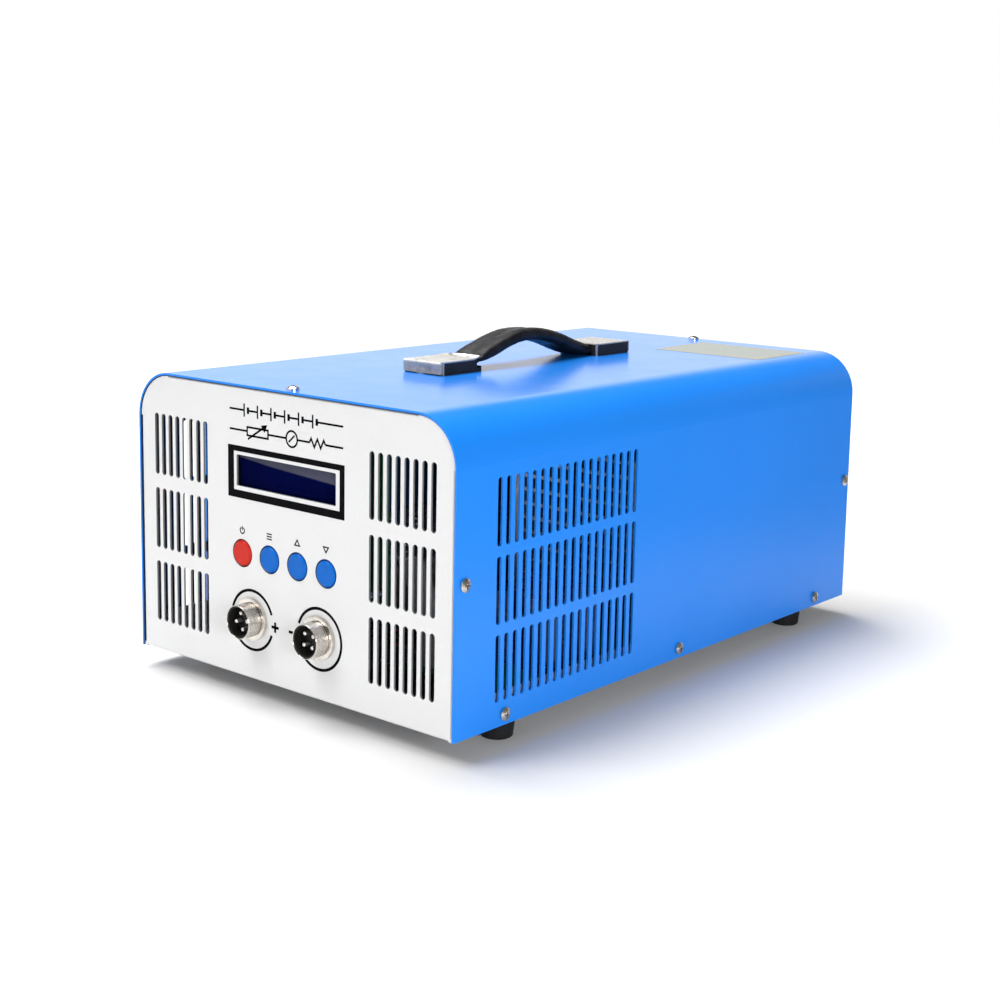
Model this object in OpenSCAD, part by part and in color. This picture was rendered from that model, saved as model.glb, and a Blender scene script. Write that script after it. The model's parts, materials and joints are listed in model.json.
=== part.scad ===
// Bench battery capacity tester: a folded steel case with a blue cover, white panels,
// a display, four keys, two round four-pin sockets and a fan-cooled load inside.
// Millimetres. Front faces -Y, up is +Z, and the feet stand on Z = 0.

/* [Case] */
// Overall width of the cover
case_w = 206; // [204:1:214]
// Overall depth of the cover
case_d = 329; // [327:1:345]
// Height of the case without its feet
case_h = 137; // [136:1:150]
// Outer radius of the two long top corners
corner_r = 22; // [18:1:26]
// Thickness of the sheet steel
sheet_t = 1; // [0.8:0.1:1.2]
// How far both panels sit inside the edges of the cover
panel_recess = 0.5; // [0.5:0.1:1.5]
// Height of the rubber feet below the case
foot_h = 10; // [8:1:14]

/* [Vents] */
// Width of one vent slot
slot_w = 3; // [2:0.1:3.2]
// Length of one vent slot
slot_l = 29.7; // [24:0.1:31]
// Number of slots across one front grille
front_slots = 8; // [4:1:8]
// Distance between slots of the front grilles
front_pitch = 5.1; // [4.6:0.1:5.2]
// Distance between the three rows of the front grilles
front_row_pitch = 36.2; // [34:0.1:36.5]
// Number of slots across one side grille
side_slots = 18; // [10:1:18]
// Distance between slots of the side grilles
side_pitch = 5.67; // [5:0.01:5.8]
// Distance between the three rows of the side grilles
side_row_pitch = 34.1; // [33:0.1:35]

/* [Front controls] */
// Width of the display window
window_w = 65; // [60:0.5:66]
// Height of the display window
window_h = 14.5; // [13:0.5:16]
// Height of the display's centre above the case bottom
window_z = 97.2; // [96:0.1:98]
// Diameter of a key cap
key_d = 12.4; // [11:0.1:13]
// Distance between keys
key_pitch = 18.4; // [17:0.1:19]
// How far the row of keys sits to the right of the middle
key_shift = -1.2; // [-3:0.1:3]
// Height of the keys above the case bottom
key_z = 58.7; // [58:0.1:60]
// How far a key stands out of the panel
key_proud = 1; // [0.8:0.1:2]
// Travel of a key
key_travel = 0.3; // [0.2:0.05:0.4]

/* [Sockets] */
// Outer diameter of the socket barrel
socket_d = 16; // [15.8:0.1:16.2]
// How far the socket stands out of the panel
socket_proud = 9; // [8:0.5:11]
// Distance of each socket from the middle of the panel
socket_x = 22.2; // [20:0.1:24]
// Height of the sockets above the case bottom
socket_z = 28.9; // [28:0.1:30]
// Diameter of the circle that the four pins stand on
pin_circle_d = 7.6; // [7:0.1:8]

/* [Handle] */
// Distance between the middles of the two handle caps
handle_pitch = 122.8; // [121:0.1:126]
// How far the handle sits to the right of the middle of the case
handle_x = 0.65; // [-2:0.05:2]
// Length of one handle cap
cap_l = 29.5; // [28:0.5:31]
// Width of the handle caps
cap_w = 24.7; // [24:0.1:26]
// Height of the handle caps
cap_h = 6.5; // [6.2:0.1:6.9]
// Width of the strap
strap_w = 19; // [17:0.5:19]
// Thickness of the strap
strap_t = 6.6; // [5.8:0.1:6.6]
// Rise of the strap's crown above its ends
strap_rise = 10.8; // [10:0.1:15]

/* [Rear and cooling] */
// Width and height of the fan
fan_size = 80; // [78:0.5:80]
// Depth of the fan
fan_depth = 25; // [20:1:25]
// Number of fan blades
fan_blades = 7; // [5:1:9]
// Number of fins on each load heatsink
heatsink_fins = 11; // [7:1:13]
// Length of the load heatsinks
heatsink_l = 150; // [120:1:160]
// Turn of the power rocker from off to on, in degrees
rocker_turn = 20; // [14:1:22]

/* [Hidden] */

$fn = 64;
eps = 0.01;

// Colours
blue_paint = [0.10, 0.42, 0.93];
white_paint = [0.92, 0.92, 0.91];
nickel = [0.78, 0.76, 0.72];
steel = [0.70, 0.71, 0.73];
black_plastic = [0.05, 0.05, 0.05];
board_green = [0.05, 0.30, 0.14];
aluminium = [0.66, 0.67, 0.69];

// The rocker is what stands out farthest behind, and the sockets in front
inlet_bezel_t = 2.4;
rocker_h = 12.6;
rocker_back = 3.4;
rocker_lip = 4.8;
rocker_edge = rocker_h / 2 - 1.1;
rocker_reach = rocker_lip * cos(rocker_turn / 2) + rocker_edge * sin(rocker_turn / 2);
rear_proud = inlet_bezel_t - rocker_back + rocker_reach;

// Main planes of the case; the middle of the case lies a little behind Y = 0
mid_y = (socket_proud - rear_proud) / 2;
front_y = mid_y - case_d / 2;
rear_y = mid_y + case_d / 2;
top_z = foot_h + case_h;
inner_w = case_w - 2 * sheet_t;
fit_gap = 0.4;
panel_w = inner_w - 2 * fit_gap;
panel_h = case_h - sheet_t - fit_gap;
panel_r = corner_r - sheet_t - fit_gap;
panel_y = front_y + panel_recess;
panel_back = panel_y + sheet_t;
rear_face = rear_y - panel_recess;
rear_back = rear_face - sheet_t;
bend_r = sheet_t + 0.3;
flange_l = 12;
tray_flange = 14;
tray_z = foot_h + sheet_t;
floor_z = tray_z + sheet_t;

// Cover screws: distances from the front edge, and heights above the case bottom
screw_hole_d = 3.4;
tap_d = 3.0;
shank_d = 2.9;
screw_l = 6;
head_d = 6;
head_h = 2;
edge_screw_y = 5.5;
edge_screw_z = 66.8;
low_screw_y = 32.5;
low_screw_z = 5;
low_screws = [front_y + low_screw_y, mid_y, rear_y - low_screw_y];
edge_screws = [front_y + edge_screw_y, rear_y - edge_screw_y];
panel_screw_x = 70;
panel_screw_y = 8;

// Grilles, measured above the case bottom
front_row_z = 14.95;
front_grille_x = 72.2;
side_row_z = 11.15;
side_grille_y = front_y + 27.5;

// Feet
foot_x = case_w / 2 - 12;
foot_y = case_d / 2 - 42;
foot_top_d = 17;
foot_d = 14.6;
foot_screw_d = 4;
foot_recess_d = 9;
foot_recess_h = 5;

// Handle, in a frame whose origin lies on the cover midway between the caps
cap_t = 0.6;
cap_bend_r = 1;
cap_curl_l = 5.5;
cap_curl_r = 11;
cap_short = 1.5;
tab_l = 1.4;
tab_seam = 0.5;
block_h = cap_h - cap_t - 0.05;
handle_screw_pitch = 16;
channel_z = 1.8;
tail_t = cap_h - cap_t - channel_z - 0.15;
tail_z = (cap_h - cap_t + channel_z) / 2;
tail_w = strap_w - 0.6;
strap_side = [3.1, -0.85];
strap_inset = 0.8;
strap_valley = 0.5;

// The strap from front to rear: place along the handle, share of the rise, width, thickness and tilt
strap_stations = [
    [-60, 0, tail_w, tail_t, 0],
    [-52, 0, tail_w, tail_t, 0],
    [-49, 0.015, tail_w, 3.3, 0],
    [-46.5, 0.145, tail_w, 3, 0],
    [-44, 0.245, strap_w, 0.72 * strap_t, 0.5],
    [-40, 0.355, strap_w, 0.9 * strap_t, 1],
    [-34.5, 0.49, strap_w, strap_t, 1.5],
    [-24.5, 0.763, strap_w, strap_t, 2.2],
    [-14.5, 0.953, strap_w, strap_t, 2.8],
    [-6.5, 1, strap_w, strap_t, 3.2],
    [1.5, 0.969, strap_w, strap_t, 3.2],
    [11.5, 0.828, strap_w, strap_t, 3.2],
    [21.5, 0.585, strap_w, strap_t, 3.2],
    [31.5, 0.268, strap_w, strap_t, 3.2],
    [39.5, 0.046, strap_w, 0.97 * strap_t, 3],
    [43, -0.025, strap_w, 0.86 * strap_t, 2.4],
    [47, -0.09, strap_w, 0.72 * strap_t, 1],
    [51.5, 0, tail_w, tail_t, 0],
    [60, 0, tail_w, tail_t, 0]
];

// Display module, counted back from the panel
window_t = 1;
bezel_w = 71.2;
bezel_h = 24.2;
bezel_d = 6.6;
glass_w = 68;
glass_h = 19.4;
display_board_w = 80;
display_board_h = 36;
board_t = 1.6;
window_y = panel_back;
bezel_y = window_y + window_t;
display_board_y = bezel_y + bezel_d;
control_y = panel_back + 14;
control_w = 98;
control_z = 46;
control_h = 78;
stud_x = 45;
stud_z = [51, 119];
stud_d = 5;

// Keys, left to right
key_x = [for (i = [0:3]) key_shift + (i - 1.5) * key_pitch];
key_hole_d = key_d + 0.9;
key_flange_d = 14.8;
key_stem_d = 5;
key_depth = 1.2;
switch_w = 12;
switch_h = 4;

// Sockets
socket_bore_d = 14.2;
socket_mouth_d = 14.9;
socket_mouth_l = 5.8;
socket_flange_d = 20.4;
socket_flange_t = 1.8;
socket_thread_d = 15.6;
socket_hole_d = 16;
socket_tip = panel_y - socket_proud;
socket_rear = panel_back + 11;
insert_y = socket_tip + 5.6;
pin_tip = socket_tip + 2.2;
pin_d = 2;
pin_tail = socket_rear + 4;
socket_turns = [-36, -6];

// Rear panel, heights above the case bottom
fan_x = 50;
fan_z = 60;
fan_bore_d = fan_size - 4;
fan_hole_pitch = fan_size - 8.5;
fan_hub_d = 32;
fan_y = rear_back - fan_depth;
inlet_x = -52;
inlet_z = 50;
inlet_w = 28;
inlet_h = 54;
inlet_ear = 40;
inlet_front = rear_face + inlet_bezel_t;
inlet_body_l = 27;
inlet_blade_tail = inlet_front - inlet_body_l - 7;
link_x = -52;
link_z = 104;

// Load board and heatsinks
main_x0 = -2;
main_w = 98;
main_y0 = mid_y - 128;
main_l = 258;
main_z = floor_z + 8;
main_top = main_z + board_t;
heatsink_base_t = 5;
heatsink_h = 74;
heatsink_y0 = fan_y - 4 - heatsink_l;
heatsink_z0 = foot_h + fan_z - heatsink_h / 2;
heatsink_half_w = 39;
fin_t = 1.8;
fin_l = 32;
transistor_pitch = 34;

// Supply
supply_x0 = -97;
supply_w = 88;
supply_y0 = mid_y - 112;
supply_l = 196;
supply_h = 40;
chassis_t = 1.5;
cage_t = 1;
terminal_l = 16;
supply_board_z = 6;

// Routes of the inner leads, with Y counted from the middle of the case
lead_d = 4.2;
mains_lead_d = 2.4;
board_cut = main_top - 0.6;
pin_lead_y = pin_tail + 0.15 - mid_y;
ribbon_y = control_y + board_t + 0.05 - mid_y;
blade_lead_y = inlet_blade_tail - 0.15 - mid_y;
positive_routes = [
    [[-25.9, pin_lead_y, 38.4], [-26, -141, 38.2], [-22, -133, 36], [-8, -125, 32], [4, -117, 29.5],
        [8, -110, 28], [8, -106.5, 25], [8, -105.8, board_cut]],
    [[-18.5, pin_lead_y, 39.6], [-18.5, -141, 39.6], [-12, -133, 39], [4, -127, 35], [14, -119, 31],
        [17, -111, 28.5], [17, -107, 25.5], [17, -106.2, board_cut]]
];
negative_routes = [
    [[18.9, pin_lead_y, 37.3], [19, -141, 37.2], [22, -134, 35], [25, -126, 32], [26, -118, 29.5],
        [26, -110.5, 28], [26, -106.8, 25], [26, -106, board_cut]],
    [[25.7, pin_lead_y, 40.5], [26, -141, 40.4], [30, -134, 38.5], [34, -127, 34], [35, -119, 31],
        [35, -111, 28.5], [35, -107, 25.5], [35, -106.2, board_cut]]
];
ribbon_route = [[51, ribbon_y, 78], [51, -142, 78], [51, -136, 74], [51, -130, 62], [51, -125, 48],
    [51, -122, 34], [51, -121.5, board_cut]];
mains_routes = [
    [[-59, blade_lead_y, 47.3], [-59, 127, 47.5], [-63, 118, 50], [-72, 107, 49],
        [-81, 97, 42], [-85, 88, 36], [-86, 79, 32.4]],
    [[-45, blade_lead_y, 47.3], [-45, 127, 47.5], [-49, 118, 52], [-58, 107, 51.5],
        [-69, 97, 44], [-74, 88, 36.5], [-75, 79, 32.4]],
    [[-52, blade_lead_y, 51.7], [-52, 127, 52.2], [-54.5, 118, 56], [-58, 107, 56],
        [-62, 97, 47], [-63.7, 88, 37], [-64, 79, 32.4]]
];
output_routes = [
    [[-31, 79, 33.3], [-31, 87, 36], [-28, 95, 42], [-18, 100, 44], [-6, 100, 38],
        [1.5, 98.5, 30], [3.6, 97, 25.5], [4, 96.6, board_cut]],
    [[-20, 79, 33.3], [-20, 86, 36], [-17, 92, 41], [-10, 93, 41],
        [-3, 90, 35], [2.2, 86.5, 29], [3.8, 84.6, 25.5], [4, 84.2, board_cut]]
];

// Shapes drawn in the plane and pushed along an axis
module along_y(y0, length) {
    translate([0, y0 + length, 0]) rotate([90, 0, 0]) linear_extrude(length) children();
}

module along_x(x0, length) {
    translate([x0, 0, 0]) rotate([90, 0, 90]) linear_extrude(length) children();
}

module to_rear(y0) {
    translate([0, y0, 0]) rotate([-90, 0, 0]) children();
}

module rod_y(d, y0, length) {
    to_rear(y0) cylinder(d = d, h = length);
}

// Quarter of a bent sheet whose outer faces lie on x = 0 and y = 0
module bend(r, t) {
    translate([r, r]) intersection() {
        difference() {
            circle(r = r, $fn = 32);
            circle(r = r - t, $fn = 32);
        }
        translate([-r, -r]) square(r);
    }
}

// Outline with square feet and two round shoulders
module arch(w, h, r) {
    translate([-w / 2, 0]) square([w, h - r]);
    translate([-w / 2 + r, 0]) square([w - 2 * r, h]);
    for (side = [-1, 1]) translate([side * (w / 2 - r), h - r]) circle(r = r, $fn = 96);
}

module rounded_rect(w, h, r) {
    square([w - 2 * r, h], center = true);
    square([w, h - 2 * r], center = true);
    for (x = [-1, 1], y = [-1, 1]) translate([x * (w / 2 - r), y * (h / 2 - r)]) circle(r = r, $fn = 32);
}

// A slot that stands on y = 0
module slot(w, l) {
    translate([-w / 2, w / 2]) square([w, l - w]);
    for (y = [w / 2, l - w / 2]) translate([0, y]) circle(d = w, $fn = 24);
}

// Three rows of upright slots that start at x = 0
module grille(count, pitch, row_pitch) {
    for (row = [0:2], i = [0:count - 1]) translate([i * pitch, row * row_pitch]) slot(slot_w, slot_l);
}

// Cross-recessed pan-head screw, head up, seat on z = 0
module pan_screw(d, l, hd, hh) {
    sag = hh * 0.45;
    dome_r = (hd * hd / 4 + sag * sag) / (2 * sag);
    difference() {
        union() {
            intersection() {
                cylinder(d = hd, h = hh);
                translate([0, 0, hh - dome_r]) sphere(r = dome_r);
            }
            translate([0, 0, -l]) cylinder(d = d, h = l + eps, $fn = 32);
        }
        for (a = [0, 90]) rotate(a)
            translate([-hd * 0.27, -hd * 0.075, hh * 0.42]) cube([hd * 0.54, hd * 0.15, hh]);
    }
}

module hex_nut(flats, bore, h) {
    difference() {
        cylinder(d = flats / cos(30), h = h, $fn = 6);
        translate([0, 0, -1]) cylinder(d = bore, h = h + 2, $fn = 32);
    }
}

// Smooth line through hand-chosen points, and a profile swept along it
function held(p, i) = p[max(0, min(len(p) - 1, i))];
function spline_point(p, i, t) =
    let (a = held(p, i - 1), b = held(p, i), c = held(p, i + 1), d = held(p, i + 2))
    0.5 * (2 * b + (c - a) * t + (2 * a - 5 * b + 4 * c - d) * t * t + (3 * b - a - 3 * c + d) * t * t * t);
function spline(p, steps) = concat(
    [for (i = [0:len(p) - 2], k = [0:steps - 1]) spline_point(p, i, k / steps)], [p[len(p) - 1]]);
function unit(v) = v / norm(v);
function heading(path, i) = unit(held(path, i + 1) - held(path, i - 1));
function across(path, i, side) = let (t = heading(path, i)) unit(side - (side * t) * t);
function carried(path, i, side) =
    i == len(path) ? [] : let (a = across(path, i, side)) concat([a], carried(path, i + 1, a));

function placed(profile, origin, a, b) = [for (q = profile) origin + q[0] * a + q[1] * b];

// Rings with equal numbers of points, joined by a skin and closed at both ends
module skin(rings) {
    m = len(rings[0]);
    n = len(rings);
    polyhedron(
        points = [for (ring = rings) each ring],
        faces = concat(
            [[for (j = [0:m - 1]) j]],
            [for (i = [0:n - 2], j = [0:m - 1])
                [i * m + j, (i + 1) * m + j, (i + 1) * m + (j + 1) % m, i * m + (j + 1) % m]],
            [[for (j = [0:m - 1]) (n - 1) * m + m - 1 - j]]),
        convexity = 6);
}

// side is the direction of the profile's first axis at the start of the path
module sweep(path, profile, side) {
    sides = carried(path, 0, side);
    skin([for (i = [0:len(path) - 1]) placed(profile, path[i], sides[i], cross(heading(path, i), sides[i]))]);
}

function circle_profile(d, sides) =
    [for (j = [0:sides - 1]) d / 2 * [cos(360 * j / sides), sin(360 * j / sides)]];

// Box of the load board, which trims the leads that end on it
module board_blank(extra) {
    translate([main_x0, main_y0, main_z]) cube([main_w, main_l, board_t + extra]);
}

module lead(route, d) {
    difference() {
        translate([0, mid_y, 0]) sweep(spline(route, 3), circle_profile(d, 8), [0, 0, 1]);
        board_blank(0.05);
    }
}

// Cover and panels
module cover_screw_places() {
    for (side = [0, 1]) mirror([side, 0, 0]) {
        for (y = low_screws) translate([case_w / 2, y, foot_h + low_screw_z]) rotate([0, 90, 0]) children();
        for (y = edge_screws) translate([case_w / 2, y, foot_h + edge_screw_z]) rotate([0, 90, 0]) children();
    }
    for (y = edge_screws) translate([0, y, top_z]) children();
}

module panel_screw_places() {
    for (x = [-1, 1], y = [-1, 1])
        translate([x * panel_screw_x, mid_y + y * (case_d / 2 - panel_screw_y), foot_h]) children();
}

module handle_origin() {
    translate([handle_x, mid_y, top_z]) children();
}

module handle_screw_places() {
    handle_origin() for (end = [-1, 1], k = [-0.5, 0.5])
        translate([0, end * handle_pitch / 2 + k * handle_screw_pitch, 0]) children();
}

module top_cover() {
    color(blue_paint) difference() {
        translate([0, 0, foot_h]) along_y(front_y, case_d) difference() {
            arch(case_w, case_h, corner_r);
            translate([0, -1]) arch(inner_w, case_h - sheet_t + 1, corner_r - sheet_t);
        }
        translate([0, side_grille_y, foot_h + side_row_z]) along_x(-case_w / 2 - 1, case_w + 2)
            grille(side_slots, side_pitch, side_row_pitch);
        cover_screw_places() translate([0, 0, -3]) cylinder(d = screw_hole_d, h = 4, $fn = 32);
        handle_screw_places() translate([0, 0, -3]) cylinder(d = 4.4, h = 4, $fn = 32);
    }
}

// A flange folded back from the edge of a panel: x points out of the edge, y into the case
module folded_flange(length) {
    linear_extrude(length, center = true) {
        mirror([1, 0]) bend(bend_r, sheet_t);
        translate([-sheet_t, bend_r]) square([sheet_t, flange_l - bend_r]);
    }
}

side_flange_z = (bend_r + 0.6 + panel_h - panel_r) / 2;
side_flange_l = panel_h - panel_r - bend_r - 0.6;
top_flange_l = panel_w - 2 * panel_r;
low_flange_l = panel_w - 2 * bend_r - 1;

module panel_flange_places() {
    for (side = [0, 1]) mirror([side, 0, 0]) translate([panel_w / 2, 0, side_flange_z]) children(0);
    translate([0, 0, panel_h]) rotate([0, -90, 0]) children(1);
    rotate([0, 90, 0]) children(2);
}

module panel_blank() {
    difference() {
        along_y(0, sheet_t) arch(panel_w, panel_h, panel_r);
        panel_flange_places() {
            translate([eps - bend_r, -1, -side_flange_l / 2]) cube([bend_r + 1, sheet_t + 2, side_flange_l]);
            translate([eps - bend_r, -1, -top_flange_l / 2]) cube([bend_r + 1, sheet_t + 2, top_flange_l]);
            translate([eps - bend_r, -1, -low_flange_l / 2]) cube([bend_r + 1, sheet_t + 2, low_flange_l]);
        }
    }
    panel_flange_places() {
        folded_flange(side_flange_l);
        folded_flange(top_flange_l);
        folded_flange(low_flange_l);
    }
}

module front_panel() {
    color(white_paint) difference() {
        translate([0, panel_y, foot_h]) panel_blank();
        translate([0, 0, foot_h]) along_y(panel_y - 1, sheet_t + 2) {
            for (side = [-1, 1])
                translate([side * front_grille_x - (front_slots - 1) * front_pitch / 2, front_row_z])
                    grille(front_slots, front_pitch, front_row_pitch);
            translate([0, window_z]) rounded_rect(window_w, window_h, 0.6);
            for (x = key_x) translate([x, key_z]) circle(d = key_hole_d);
            for (x = [-1, 1]) translate([x * socket_x, socket_z]) circle(d = socket_hole_d);
        }
        panel_taps();
    }
}

// Holes in the panel flanges that the cover screws and the tray screws enter
module panel_taps() {
    cover_screw_places() translate([0, 0, -screw_l - 1]) cylinder(d = tap_d, h = screw_l, $fn = 32);
    panel_screw_places() translate([0, 0, -1]) cylinder(d = screw_hole_d, h = sheet_t + 2, $fn = 32);
}

module rear_panel() {
    color(white_paint) difference() {
        translate([0, rear_face, foot_h]) mirror([0, 1, 0]) panel_blank();
        translate([0, 0, foot_h]) along_y(rear_back - 1, sheet_t + 2) {
            translate([fan_x, fan_z]) circle(d = fan_bore_d, $fn = 96);
            for (x = [-1, 1], z = [-1, 1])
                translate([fan_x + x * fan_hole_pitch / 2, fan_z + z * fan_hole_pitch / 2])
                    circle(d = 4.4, $fn = 32);
            translate([inlet_x, inlet_z]) square([inlet_w - 0.6, inlet_h - 6.6], center = true);
            for (x = [-1, 1])
                translate([inlet_x + x * inlet_ear / 2, inlet_z]) circle(d = screw_hole_d, $fn = 32);
            translate([link_x, link_z]) square([12.4, 11.3], center = true);
        }
        panel_taps();
    }
}

// The tray's own flanges stand between the flanges of the two panels
module base_tray() {
    floor_y = panel_back + bend_r - sheet_t + 0.3;
    side_y = panel_y + flange_l + 1;
    floor_w = panel_w - 2 * bend_r;
    color(steel) difference() {
        translate([0, 0, tray_z]) {
            along_y(floor_y, 2 * (mid_y - floor_y))
                translate([-floor_w / 2 + 0.3, 0]) square([floor_w - 0.6, sheet_t]);
            along_y(side_y, 2 * (mid_y - side_y)) {
                translate([-floor_w / 2, 0]) square([floor_w, sheet_t]);
                for (side = [0, 1]) mirror([side, 0]) {
                    translate([-panel_w / 2, 0]) bend(bend_r, sheet_t);
                    translate([-panel_w / 2, bend_r]) square([sheet_t, tray_flange - bend_r]);
                }
            }
        }
        cover_screw_places() translate([0, 0, -screw_l - 1]) cylinder(d = tap_d, h = screw_l, $fn = 32);
        foot_places() translate([0, 0, -1]) cylinder(d = foot_screw_d + 0.4, h = foot_h + 6, $fn = 32);
        panel_screw_places() translate([0, 0, sheet_t - 1]) cylinder(d = tap_d, h = sheet_t + 2, $fn = 32);
    }
}

module cover_screws() {
    color(nickel) cover_screw_places() pan_screw(shank_d, screw_l, head_d, head_h);
}

module panel_screws() {
    color(nickel) panel_screw_places() rotate([180, 0, 0]) pan_screw(shank_d, screw_l - 1, head_d, head_h);
}

// Feet
module foot_places() {
    for (x = [-1, 1], y = [-1, 1]) translate([x * foot_x, mid_y + y * foot_y, 0]) children();
}

module rubber_feet() {
    foot_round = 1.2;
    foot_total = foot_h + sheet_t;
    color(black_plastic) foot_places() rotate_extrude() difference() {
        union() {
            polygon([[0, foot_round], [foot_d / 2, foot_round], [foot_top_d / 2, foot_total], [0, foot_total]]);
            square([foot_d / 2 - foot_round, foot_round + eps]);
            translate([foot_d / 2 - foot_round, foot_round]) circle(r = foot_round, $fn = 32);
        }
        translate([-1, -1]) square([1 + foot_recess_d / 2, 1 + foot_recess_h]);
        translate([-1, -1]) square([1 + foot_screw_d / 2 + 0.2, foot_total + 2]);
        translate([-20, -1]) square([20, foot_total + 3]);
    }
}

module foot_screws() {
    color(steel) foot_places() translate([0, 0, foot_recess_h]) rotate([180, 0, 0])
        pan_screw(foot_screw_d, foot_h + sheet_t * 2 - foot_recess_h + 4.5, 7.6, 2.6);
}

module foot_nuts() {
    color(steel) foot_places() translate([0, 0, floor_z]) hex_nut(7, foot_screw_d + 0.1, 3.2);
}

// Handle: the strap rises out of the front cap to a crown ahead of the middle, and falls to the rear cap
function strap_middle(y) = strap_side[0] + (strap_side[1] - strap_side[0]) * max(0, min(1, (y + 46) / 93))
    - max(0, min(strap_inset, (-46 - y) / 5));

// Flat oval with a rolled bead along each edge and a shallow valley between them
function strap_profile(w, t) = [for (j = [0:23]) let (
    c = cos(15 * j),
    s = sin(15 * j),
    x = w / 2 * sign(c) * pow(abs(c), 0.62),
    valley = strap_valley * pow(max(0, 1 - pow(x / (0.3 * w), 2)), 2))
    [x, sign(s) * (t / 2 * pow(abs(s), 0.62) - (abs(s) > 0.2 ? valley : 0))]];

module handle_strap() {
    rows = spline(strap_stations, 2);
    path = [for (r = rows) [strap_middle(r[0]), r[0], tail_z + strap_rise * r[1]]];
    color(black_plastic) difference() {
        handle_origin() skin([for (i = [0:len(rows) - 1]) let (
            t = heading(path, i),
            a = unit(cross(t, [-sin(rows[i][4]), 0, cos(rows[i][4])])))
            placed(strap_profile(rows[i][2], rows[i][3]), path[i], a, cross(t, a))]);
        handle_screw_places() cylinder(d = 4.4, h = cap_h);
    }
}

// A folded cap, closed at one end; curl_l is what curls up at its other end, which is short of the block
module handle_cap(curl_l, short) {
    end_x = cap_l / 2 - short;
    along_x(-cap_w / 2, cap_w) {
        translate([-cap_l / 2, 0]) square([cap_t, cap_h - cap_bend_r]);
        translate([-cap_l / 2, cap_h]) mirror([0, 1]) bend(cap_bend_r, cap_t);
        translate([-cap_l / 2 + cap_bend_r, cap_h - cap_t])
            square([end_x - curl_l + cap_l / 2 - cap_bend_r, cap_t]);
        if (curl_l > 0) translate([end_x - curl_l, cap_h + cap_curl_r]) intersection() {
            difference() {
                circle(r = cap_curl_r + cap_t);
                circle(r = cap_curl_r);
            }
            translate([0, -cap_curl_r - cap_t]) square([curl_l, cap_curl_r]);
        }
    }
}

// Side tabs of a cap whose front end lies at y
module cap_tabs(y, gap) {
    for (side = [0, 1]) mirror([side, 0, 0])
        translate([cap_w / 2 - cap_t - gap, y - gap, -gap])
            cube([cap_t + 2 * gap, tab_l + 2 * gap, cap_h - cap_t / 2 + gap]);
}

front_tab_y = -(handle_pitch + cap_l) / 2 + cap_t + tab_seam;
rear_tab_y = (handle_pitch - cap_l) / 2;

module handle_cap_front() {
    color(nickel) handle_origin() {
        translate([0, -handle_pitch / 2, 0]) handle_cap(cap_curl_l, cap_short);
        cap_tabs(front_tab_y, 0);
    }
}

module handle_cap_rear() {
    color(nickel) handle_origin() {
        translate([0, handle_pitch / 2, 0]) mirror([0, 1, 0]) handle_cap(0, 0);
        cap_tabs(rear_tab_y, 0);
    }
}

// Moulded blocks under the caps, with a channel for each end of the strap
module handle_blocks() {
    block_w = cap_w - 0.1;
    block_l = cap_l - cap_bend_r;
    exit_y = handle_pitch / 2 - cap_l / 2;
    channel_x = strap_side[0] - strap_inset - tail_w / 2 - 0.15;
    color(black_plastic) difference() {
        handle_origin() difference() {
            union() {
                translate([-block_w / 2, -exit_y - block_l, 0]) cube([block_w, block_l, block_h]);
                translate([-block_w / 2, exit_y, 0]) cube([block_w, block_l, block_h]);
            }
            cap_tabs(front_tab_y, 0.05);
            cap_tabs(rear_tab_y, 0.05);
            translate([channel_x, -61, channel_z]) cube([tail_w + 0.45, 11.5, cap_h]);
            along_x(channel_x, cap_w) polygon([
                [-50, channel_z - eps], [-exit_y - 2.2, channel_z - eps], [1 - exit_y, channel_z + 1.3],
                [1 - exit_y, cap_h], [-50, cap_h]]);
            along_x(strap_side[1] - strap_w / 2 - 0.15, strap_w + 0.3) polygon([
                [61, channel_z], [exit_y + 4.8, channel_z], [exit_y + 0.5, 0], [exit_y + 0.5, -1], [exit_y - 1, -1],
                [exit_y - 1, cap_h], [61, cap_h]]);
        }
        handle_screw_places() translate([0, 0, -1]) cylinder(d = 4.05, h = cap_h + 2, $fn = 32);
    }
}

module handle_screws() {
    color(steel) handle_screw_places() translate([0, 0, -sheet_t]) rotate([180, 0, 0])
        pan_screw(4, sheet_t + cap_h - cap_t - 0.5, 8, 2.6);
}

// Display module
module display_window() {
    color([0.85, 0.90, 0.95, 0.3]) translate([0, 0, foot_h + window_z]) along_y(window_y, window_t)
        rounded_rect(bezel_w, bezel_h - 3, 1);
}

module display_bezel() {
    color([0.12, 0.12, 0.13]) translate([0, 0, foot_h + window_z]) difference() {
        along_y(bezel_y, bezel_d) square([bezel_w, bezel_h], center = true);
        along_y(bezel_y - 1, 2) square([window_w + 0.6, window_h + 0.8], center = true);
        along_y(bezel_y + 0.6, bezel_d) square([bezel_w - 1.2, bezel_h - 1.2], center = true);
    }
}

module display_glass() {
    color([0.04, 0.06, 0.35]) translate([0, 0, foot_h + window_z]) along_y(bezel_y + 0.6, 4.2)
        square([glass_w, glass_h], center = true);
}

module display_board() {
    color(board_green) translate([0, 0, foot_h + window_z]) along_y(display_board_y, board_t) difference() {
        square([display_board_w, display_board_h], center = true);
        for (x = [-1, 1], z = [-1, 1]) translate([x * 37.5, z * 15.5]) circle(d = 2.6, $fn = 24);
        for (i = [0:15]) translate([-30 + i * 2.54, display_board_h / 2 - 2.2]) circle(d = 1, $fn = 16);
    }
}

// Board that carries the keys, on studs welded to the front panel
module stud_places() {
    for (x = [-1, 1], z = stud_z) translate([x * stud_x, 0, foot_h + z]) children();
}

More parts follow.
